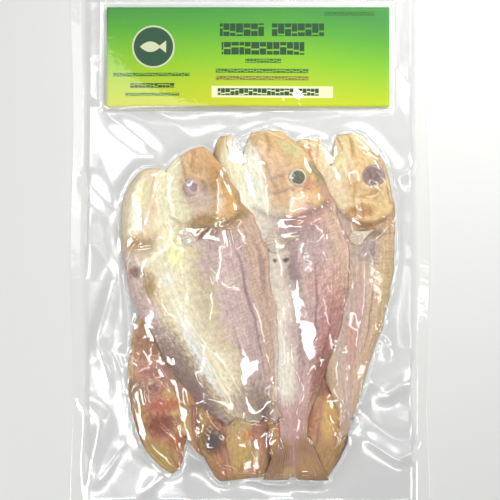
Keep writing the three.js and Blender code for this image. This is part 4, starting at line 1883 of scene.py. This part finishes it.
@dataclass
class Card:
    """The printed card in the header, under the film."""

    header: Callable[[Array, Array], Array]
    low: Point
    high: Point
    thick: float = 0.5
    under_film: float = 0.12
    pitch: float = 1.4

    SPOT_LEFT = 46.5
    SPOT_UP = 5.0
    RING = 10.7
    SPOT = 9.9

    def material(self) -> Material:
        """Prints the card: a green to yellow ground, plain bars and a round fish sign.

        Returns:
            The material.
        """
        material, graph, shader = new_material("printed_card")
        where = graph.node("TexCoord").outputs["Object"]
        scale = {0: where, 3: 1.0 / MM}
        in_mm = graph.node("VectorMath", scale, operation="SCALE").outputs[0]
        parts = graph.node("SeparateXYZ", {0: in_mm})
        x = graph.minus(parts.outputs["X"], (self.low[0] + self.high[0]) / 2)
        y = graph.minus(parts.outputs["Y"], (self.low[1] + self.high[1]) / 2)
        rise = graph.fit(y, 1 / (self.high[1] - self.low[1]), 0.5)
        right = graph.math("MAXIMUM", graph.minus(x, 20.0), 0.0)
        colour = graph.ramp(
            graph.fit(right, 0.003, rise),
            (0.0, (218, 224, 2)),
            (0.2, (196, 222, 2)),
            (0.5, (142, 210, 4)),
            (0.78, (90, 182, 38)),
            (1.0, (66, 156, 60)),
        )
        worn = graph.ease(graph.noise(where, 900.0, 2.0), 0.1, 0.35)
        for bar in CARD_BARS:
            mask = graph.times(self.bar(graph, bar, x, y), worn)
            colour = graph.blend(mask, colour, bar.colour)
        colour = self.sign(graph, colour, x, y)
        grain = graph.fit(graph.noise(where, 2600.0, 2.0), 0.1, 0.95)
        tint = graph.grey(grain)
        graph.feed(shader.inputs["Base Color"], graph.blend(1.0, colour, tint, "MULTIPLY"))
        shader.inputs["Roughness"].default_value = 0.5
        shader.inputs["Specular IOR Level"].default_value = 0.25
        return material

    @staticmethod
    def bar(graph: Graph, bar: Bar, x: Socket, y: Socket) -> Socket:
        """The mask of one bar, cut into blocks as wide as a stroke of print.

        Args:
            graph: The material's graph.
            bar: The bar.
            x: Places across, from the card's middle.
            y: Places along, from there.

        Returns:
            The mask's socket.
        """
        dx = graph.away(x, bar.x)
        dy = graph.away(y, bar.y)
        wide = graph.ease(dx, bar.half_width, bar.half_width - 0.3)
        inside = graph.times(wide, graph.ease(dy, bar.half_height, bar.half_height - 0.3))
        if not bar.stroke:
            return inside
        count = graph.fit(x, 1.0 / bar.stroke, bar.y)
        blocks = {"W": count, "Scale": 1.0, "Randomness": 0.5}
        cut = graph.node("TexVoronoi", blocks, voronoi_dimensions="1D", feature="DISTANCE_TO_EDGE")
        inside = graph.times(inside, graph.ease(cut.outputs["Distance"], 0.02, 0.06))
        cell = graph.node("TexVoronoi", blocks, voronoi_dimensions="1D")
        height = graph.fit(cell.outputs["Color"], 1.6 * bar.half_height, -0.8 * bar.half_height)
        off = graph.minus(graph.minus(y, bar.y), height)
        notch = graph.times(graph.math("ABSOLUTE", off), 1 / bar.half_height)
        return graph.times(inside, graph.ease(notch, 0.08, 0.18))

    @staticmethod
    def sign(graph: Graph, colour: Socket, x: Socket, y: Socket) -> Socket:
        """A dark round spot with a pale ring and a plain fish in it.

        Args:
            graph: The material's graph.
            colour: The card's colour without it.
            x: Places across, from the card's middle.
            y: Places along, from there.

        Returns:
            The colour with it.
        """
        dx = graph.plus(x, Card.SPOT_LEFT)
        dy = graph.minus(y, Card.SPOT_UP)
        out = graph.math("SQRT", graph.fit(dx, dx, graph.times(dy, dy)))
        cream = (226, 232, 190)
        for radius, paint in ((Card.RING, cream), (Card.SPOT, (30, 84, 52))):
            colour = graph.blend(graph.ease(out, radius, radius - 0.4), colour, paint)
        belly = graph.math("ABSOLUTE", dy)
        ahead = graph.plus(dx, 1.5)
        bulge = graph.fit(graph.times(ahead, ahead), -0.1, 2.6)
        body = graph.ease(graph.minus(belly, bulge), 0.15, -0.15)
        fan = graph.minus(belly, graph.fit(dx, 0.8, -1.9))
        tail = graph.times(graph.ease(fan, 0.15, -0.15), graph.ease(dx, 6.4, 6.1))
        return graph.blend(graph.math("MAXIMUM", body, tail), colour, cream)

    def build(self) -> Piece:
        """Makes the card as one thin closed mesh that follows the header.

        Returns:
            Its object.
        """
        columns = int((self.high[0] - self.low[0]) / self.pitch)
        rows = int((self.high[1] - self.low[1]) / self.pitch)
        x = np.linspace(self.low[0], self.high[0], columns)
        x, y = np.meshgrid(x, np.linspace(self.low[1], self.high[1], rows))
        top = self.header(x, y) - self.under_film
        drops = (0, self.thick - self.under_film)
        layers = [np.stack([x, y, top - drop], -1).reshape(-1, 3) for drop in drops]
        card = make_object("card", np.concatenate(layers), slab_faces(rows, columns))
        card.data.materials.append(self.material())
        return card


# ---------- the pack's finishes
CREAM_AND_PLUM = FishFinish(
    "skin_cream_and_plum",
    belly=(255, 243, 208),
    low_belly=(244, 224, 184),
    flank=(244, 216, 204),
    back=(228, 196, 188),
    rim=(226, 192, 168),
    throat=(254, 246, 206),
    cheek=(244, 204, 158),
    brow=(236, 180, 104),
    gill=(184, 150, 104),
    fin=(206, 172, 132),
    belly_width=0.32,
    belly_shift=0.22,
    patches=(
        Patch(54, -0.05, 13, 0.2, (254, 250, 172)),
        # Painted highlights: the next three near-white patches are streaks of film glare, two near
        # the belly line and one along the right rim.
        Patch(96, -0.28, 34, 0.1, (255, 250, 236)),
        Patch(106, -0.4, 34, 0.085, (255, 255, 252), 0.95, 0.5),
        Patch(124, 0.96, 24, 0.07, (252, 246, 238), 0.85, 0.5),
        Patch(30, 0.45, 12, 0.3, (246, 218, 202)),
        Patch(24, 0.62, 7, 0.16, (196, 164, 134), 0.7),
        Patch(13, 0.5, 5, 0.2, (206, 170, 120), 0.7),
        Patch(5, 0.7, 14, 0.5, (238, 190, 140)),
        Patch(22, 0.95, 10, 0.2, (204, 168, 116)),
        Patch(43, 0.42, 5, 0.3, (190, 152, 96)),
        Patch(50, 0.3, 3, 0.16, (176, 120, 100)),
        Patch(66, -0.62, 8, 0.2, (196, 162, 112)),
        Patch(30, -0.72, 30, 0.6, (255, 243, 210), 0.92),
        Patch(26, -0.6, 10, 0.2, (252, 244, 150), 0.6),
        Patch(46, -0.7, 5, 0.3, (214, 172, 116)),
        Patch(58, -0.8, 4, 0.2, (150, 110, 90)),
        Patch(66, -0.3, 5, 0.22, (255, 250, 232)),
        Patch(112, -0.86, 38, 0.56, (150, 119, 107)),
        Patch(92, 0.66, 46, 0.035, (160, 128, 134), 0.7, 0.6),
        Patch(120, 0.34, 26, 0.04, (190, 152, 136), 0.6, 0.6),
        Patch(78, 0.9, 26, 0.05, (172, 136, 124), 0.6, 0.6),
        Patch(138, 0.1, 18, 0.9, (176, 148, 132), 0.85),
        Patch(142, 0.5, 8, 0.3, (150, 116, 104), 0.7),
    ),
)
ROSE = FishFinish(
    "skin_rose",
    belly=(254, 246, 228),
    low_belly=(246, 230, 214),
    flank=(226, 198, 190),
    back=(234, 188, 176),
    rim=(236, 200, 172),
    throat=(255, 255, 232),
    cheek=(255, 214, 170),
    brow=(238, 196, 130),
    gill=(202, 160, 142),
    fin=(188, 144, 96),
    shift=0.37,
    belly_width=0.22,
    belly_shift=0.14,
    patches=(
        Patch(20, -0.5, 28, 0.7, (250, 242, 206)),
        Patch(33, 0.76, 5, 0.14, (226, 160, 130)),
        Patch(5, 0.5, 8, 0.5, (224, 188, 132)),
        Patch(13, 0.8, 9, 0.2, (232, 222, 164)),
        Patch(28, 0.95, 9, 0.12, (150, 136, 100)),
        Patch(103, 0.82, 33, 0.34, (208, 146, 138)),
        Patch(120, 0.85, 22, 0.3, (178, 120, 100)),
        Patch(70, 0.3, 14, 0.12, (174, 144, 146), 0.7),
        Patch(108, 0.35, 20, 0.14, (186, 150, 146), 0.7),
        Patch(64, 1.0, 12, 0.12, (240, 200, 180)),
        Patch(62, 0.55, 17, 0.3, (208, 180, 176), 0.8),
        Patch(96, 0.55, 40, 0.03, (168, 124, 128), 0.7, 0.6),
        Patch(110, 0.78, 26, 0.04, (160, 104, 100), 0.6, 0.6),
        Patch(142, 0.0, 14, 1.2, (222, 170, 164)),
        Patch(157, 0.0, 12, 0.5, (212, 164, 152), 0.9),
        Patch(47, 0.62, 8, 0.2, (206, 158, 146)),
        Patch(64.5, 0.1, 1.5, 0.04, (90, 80, 74)),
        Patch(65.5, 0.23, 1.5, 0.05, (80, 70, 64)),
        Patch(163, 0.5, 7, 0.5, (216, 168, 106)),
        Patch(159, -0.5, 5, 0.4, (166, 116, 78)),
        Patch(168, -0.15, 5, 0.35, (226, 190, 136)),
    ),
)
HONEY = FishFinish(
    "skin_honey",
    belly=(222, 196, 180),
    low_belly=(216, 188, 168),
    flank=(232, 202, 176),
    back=(232, 196, 160),
    rim=(230, 204, 164),
    throat=(250, 230, 188),
    cheek=(246, 207, 146),
    brow=(240, 211, 152),
    gill=(190, 142, 92),
    fin=(224, 190, 160),
    shift=0.71,
    belly_width=0.2,
    patches=(
        Patch(40, 0.4, 5, 0.35, (188, 132, 80)),
        Patch(12, 0.2, 10, 0.2, (240, 226, 166)),
        Patch(16, 0.9, 10, 0.14, (206, 170, 130)),
        Patch(52, 0.5, 4, 0.5, (150, 134, 104)),
        Patch(60, 0.5, 10, 0.3, (190, 168, 166)),
        Patch(90, 0.4, 30, 0.16, (226, 188, 178)),
        Patch(78, 0.85, 34, 0.2, (226, 196, 146)),
        Patch(112, 0.2, 30, 0.3, (220, 174, 156)),
        Patch(88, 0.62, 40, 0.035, (168, 130, 108), 0.6, 0.6),
        Patch(30, 0.7, 9, 0.12, (206, 160, 108), 0.6),
        Patch(22, 0.35, 7, 0.1, (224, 184, 132), 0.6),
    ),
)
AMBER = FishFinish(
    "flesh_amber",
    belly=(222, 176, 148),
    low_belly=(206, 152, 126),
    flank=(204, 154, 126),
    back=(212, 166, 120),
    rim=(236, 206, 160),
    throat=(220, 180, 122),
    cheek=(208, 146, 116),
    brow=(204, 162, 100),
    gill=(160, 104, 80),
    fin=(226, 206, 160),
    shift=0.13,
    contrast=1.1,
    patches=(
        Patch(60, -0.6, 24, 0.5, (222, 164, 146)),
        Patch(24, -0.45, 9, 0.5, (142, 66, 40)),
        Patch(14, -0.2, 7, 0.3, (186, 104, 58)),
        Patch(10, -0.7, 9, 0.4, (196, 166, 84)),
        Patch(34, -0.3, 5, 0.5, (204, 112, 82)),
        Patch(40, -0.8, 9, 0.3, (172, 142, 104)),
        Patch(50, -0.5, 8, 0.3, (186, 128, 104)),
        Patch(66, -0.6, 12, 0.5, (178, 132, 96)),
    ),
)
OLIVE = replace(
    AMBER,
    name="flesh_olive",
    shift=0.52,
    patches=(
        Patch(12, 0.1, 11, 0.5, (206, 172, 100)),
        Patch(9, 0.45, 10, 0.1, (248, 226, 176)),
        Patch(24, 0.2, 5, 0.1, (240, 150, 70)),
        Patch(31, 0.1, 6, 0.4, (236, 208, 150)),
        Patch(23, -0.62, 11, 0.44, (122, 90, 66)),
        Patch(22, 0.85, 22, 0.26, (128, 88, 66)),
        Patch(4, 0.3, 6, 0.9, (176, 122, 72), 0.7),
        Patch(6, -0.8, 8, 0.4, (184, 128, 86)),
        Patch(46, -0.75, 12, 0.3, (150, 110, 72)),
    ),
)
GOLD = replace(
    AMBER,
    name="flesh_gold",
    shift=0.83,
    patches=(
        Patch(16, 0.6, 14, 0.5, (190, 148, 94)),
        Patch(33, 0.55, 17, 0.22, (240, 200, 116)),
        # Painted shade: a dark brown line along the right rim, in the crevice beside the
        # neighbouring fish.
        Patch(28, 1.0, 24, 0.14, (104, 80, 62)),
        Patch(14, -0.2, 20, 0.5, (176, 130, 84)),
        Patch(34, 0.1, 14, 0.24, (196, 120, 88)),
    ),
)
HORN = RayFinish("horn", (206, 178, 138), (246, 234, 208))
CLEAR_EYE = EyeFinish(
    "eye_clear",
    pupil=(104, 104, 84),
    iris=(220, 200, 162),
    ring=(240, 230, 204),
    lid=(226, 180, 150),
    pupil_share=0.62,
)
CLOUDED_EYE = EyeFinish(
    "eye_clouded",
    pupil=(164, 134, 138),
    iris=(204, 178, 172),
    ring=(222, 204, 196),
    lid=(176, 150, 140),
    pupil_share=0.42,
    cloud=0.4,
)
RINGED_EYE = EyeFinish(
    "eye_ringed",
    pupil=(158, 100, 86),
    iris=(194, 142, 116),
    ring=(204, 156, 132),
    lid=(186, 128, 100),
    pupil_share=0.55,
    cloud=0.7,
)
MOTTLED_EYE = EyeFinish(
    "eye_mottled",
    pupil=(140, 108, 104),
    iris=(164, 134, 124),
    ring=(186, 160, 154),
    lid=(206, 170, 134),
    pupil_share=0.7,
    cloud=0.7,
)
SUNKEN_EYE = EyeFinish(
    "eye_sunken",
    pupil=(92, 78, 82),
    iris=(126, 100, 82),
    ring=(116, 92, 78),
    lid=(146, 110, 80),
    pupil_share=0.66,
    cloud=0.5,
)
GOLD_EYE = EyeFinish(
    "eye_gold",
    pupil=(214, 164, 94),
    iris=(216, 168, 100),
    ring=(226, 182, 106),
    lid=(206, 158, 94),
    pupil_share=0.5,
    cloud=0.9,
)


# ---------- the pack
@dataclass
class Pack:
    """The whole pack: fish in two layers, the film over them and the header's card."""

    sizes: PackSizes

    HEADER_MIDDLE = (-1, 95)
    HEADER_HALF = (72, 27)
    HEADER_FILM = 0.5
    LIFT = 3
    LIFT_MIDDLE = (-20, 68)
    LIFT_REACH = 27
    LIFT_STRETCH = 1.7

    def header(self, x: Array, y: Array) -> Array:
        """Height of the film in the header: flat at the top seal, lifted near the fish.

        Args:
            x: Places across.
            y: Places along.

        Returns:
            Heights over the table, 0 outside the header.
        """
        across = (x - self.LIFT_MIDDLE[0]) / self.LIFT_STRETCH
        up = y - self.LIFT_MIDDLE[1]
        lift = self.LIFT * np.exp(-(across**2 + up**2) / self.LIFT_REACH**2)
        inside = np.abs(x - self.HEADER_MIDDLE[0]) < self.HEADER_HALF[0]
        inside &= np.abs(y - self.HEADER_MIDDLE[1]) < self.HEADER_HALF[1]
        return np.where(inside, self.sizes.seal + self.HEADER_FILM + lift, 0)

    @staticmethod
    def low_fish() -> list[Fish]:
        """The lower layer, with heads towards the foot.

        Returns:
            The fish, in the order in which they are laid.
        """
        return [
            Fish(
                "bream_low_left",
                ((-27, -104), (-38, -84), (-36, -40), (-17, 44)),
                (0.72, 0.72, 0.4),
                (0.4, 0.5, 0.5),
                AMBER,
                Eye(Side.LEFT, 43.5, 0.5, RINGED_EYE, 5.0),
                split=0.7,
            ),
            Fish(
                "bream_low_middle",
                ((-4, -113), (-8, -78), (-8, -25), (-6, 48)),
                (0.6, 0.5, 0.5),
                (0.66, 0.55, 0.5),
                OLIVE,
                Eye(Side.LEFT, 23, 0.68, SUNKEN_EYE, 5.4, 0.8),
                split=0.0,
            ),
            Fish(
                "bream_low_right",
                ((24, -112), (27, -73), (26, -25), (36, 44)),
                (0.52, 0.5, 0.5),
                (0.7, 0.55, 0.5),
                GOLD,
                Eye(Side.RIGHT, 36, 0.65, GOLD_EYE, 4.4, 0.6),
                split=0.0,
            ),
        ]

    @staticmethod
    def top_fish() -> list[Fish]:
        """The upper layer, with heads towards the header.

        Returns:
            The fish, in the order in which they are laid.
        """
        pale_fin = replace(ROSE, name="fin_skin", fin=(244, 232, 214), patches=())
        return [
            Fish(
                "bream_right",
                ((38, 56), (44, 10), (46, -40), (49, -108)),
                (0.8, 0.7, 0.5),
                (0.85, 0.74, 0.5),
                HONEY,
                Eye(Side.RIGHT, 23, 0.7, MOTTLED_EYE, 6.4),
                SideFin((61, 10), 205, 13, 22, pale_fin, HORN),
                until=151,
                slant=-9,
                split=0.35,
            ),
            Fish(
                "bream_middle",
                ((-6, 57), (0, 10), (22, -30), (21, -113)),
                (0.5, 0.8, 0.7),
                (1.05, 1.13, 0.85),
                ROSE,
                Eye(Side.RIGHT, 28, 0.68, CLEAR_EYE, 5.3),
                SideFin((24, 7), 196, 17, 24, pale_fin, HORN),
                split=0.4,
            ),
            Fish(
                "bream_left",
                ((-40, 54), (-50, 2), (-14, -52), (16, -108)),
                (0.6, 0.8, 1.3),
                (1, 1.2, 1.5),
                CREAM_AND_PLUM,
                Eye(Side.RIGHT, 24, 0.43, CLOUDED_EYE, 5.4, 0.7),
                SideFin((-20, 11), 205, 15, 24, pale_fin, HORN),
                left_from=14,
                until=144,
                slant=6,
            ),
        ]

    def build(self, card_low: Point, card_high: Point) -> None:
        """Makes every piece and rides it on the pack.

        Args:
            card_low: The card's lowest X and Y, in millimetres.
            card_high: Its highest X and Y.
        """
        fishes = self.low_fish() + self.top_fish()
        pile = HeightMap(self.sizes, self.sizes.table_film)
        for fish in fishes:
            fish.lay(pile)
        for fish in fishes:
            for piece in fish.build():
                self.keep(piece, "film_and_fish", "bag")
        self.keep(Film(self.sizes, pile, self.header).build(), "film_and_fish", "bag")
        self.keep(Card(self.header, card_low, card_high).build(), "printed_card", "label_card")

    @staticmethod
    def keep(piece: Piece, slot: str, node: str) -> None:
        """Rides a piece on the pack, in the place of a solid.

        Args:
            piece: The piece.
            slot: Not used.
            node: The solid that it stands for.
        """
        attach(piece, "root")
        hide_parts(node)
        LOG.info("%s: %d faces", piece.name, len(piece.data.polygons))


# ---------- the studio
@dataclass(frozen=True)
class Softbox:
    """A rectangular light that faces a point of the pack: sizes in metres, power in watts."""

    name: str
    place: tuple[float, float, float]
    width: float
    length: float
    power: float
    aim: tuple[float, float, float] = (0.0, 0.0, 0.0)

    def build(self) -> None:
        """Hangs the light, its length along the pack."""
        data = bpy.data.lights.new(self.name, "AREA")
        data.shape = "RECTANGLE"
        data.size, data.size_y = self.width, self.length
        data.energy = self.power
        lamp = bpy.data.objects.new(self.name, data)
        lamp.location = self.place
        toward = Vector(self.aim) - Vector(self.place)
        lamp.rotation_euler = toward.to_track_quat("-Z", "Y").to_euler()
        bpy.context.scene.collection.objects.link(lamp)


LIGHTS = (
    Softbox("key", (0.2, 0.28, 0.28), 0.16, 0.16, 1.3),
    Softbox("left_strip", (-0.44, -0.24, 0.43), 0.04, 0.45, 0.75),
    Softbox("right_strip", (0.47, -0.2, 0.42), 0.04, 0.45, 0.36),
    Softbox("left_line", (-0.27, 0.1, 0.58), 0.02, 0.4, 0.24),
    Softbox("right_line", (0.19, -0.05, 0.6), 0.012, 0.3, 0.08),
    Softbox("left_fill", (-0.42, -0.28, 0.3), 0.04, 0.3, 0.38, (-0.05, -0.1, 0)),
    Softbox("panel", (-0.16, 0.1, 0.5), 0.2, 0.2, 0.15),
    Softbox("foot_line", (-0.06, -0.36, 0.4), 0.3, 0.025, 0.22, (0, -0.08, 0)),
)


@dataclass(frozen=True)
class Studio:
    """A pale table, soft light that falls off towards the pack's foot, and the camera."""

    view_width: float = 0.24315
    view_height: float = 0.008
    distance: float = 0.55
    table_half: float = 900.0
    table_drop: float = 0.2
    sky_strength: float = 0.22
    sensor: float = 36.0

    def build(self) -> None:
        """Makes the table, the lights, the surroundings and the camera."""
        self.lay_table()
        for light in LIGHTS:
            light.build()
        world = bpy.data.worlds.new("studio")
        world.use_nodes = True
        sky = world.node_tree.nodes["Background"].inputs
        sky["Color"].default_value = (0.96, 0.98, 1.0, 1.0)
        sky["Strength"].default_value = self.sky_strength
        bpy.context.scene.world = world
        bpy.context.scene.view_settings.view_transform = "Standard"
        self.set_camera()

    def lay_table(self) -> None:
        """Makes the table top, just under the pack's flat back."""
        half, low = self.table_half, -self.table_drop
        corners = [(-half, -half, low), (half, -half, low), (half, half, low), (-half, half, low)]
        table = make_object("table", corners, [(0, 1, 2, 3)])
        table.data.materials.append(plain("pale_table", (237, 237, 234), 0.6))

    def set_camera(self) -> None:
        """Hangs the camera over the pack's middle, looking straight down."""
        data = bpy.data.cameras.new("camera")
        data.sensor_width = self.sensor
        data.lens = self.sensor * (self.distance - self.view_height) / self.view_width
        camera = bpy.data.objects.new("camera", data)
        camera.location = (0, 0, self.distance)
        bpy.context.scene.collection.objects.link(camera)
        bpy.context.scene.camera = camera


def main() -> None:
    """Builds the studio and the pack, sized from the imported solids."""
    logging.basicConfig(level=logging.INFO, format="%(message)s")
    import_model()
    Studio().build()
    low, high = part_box("bag")
    sizes = PackSizes(width=(high.x - low.x) / MM, length=(high.y - low.y) / MM)
    card_low, card_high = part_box("label_card")
    Pack(sizes).build((card_low.x / MM, card_low.y / MM), (card_high.x / MM, card_high.y / MM))


if __name__ == "__main__":
    main()
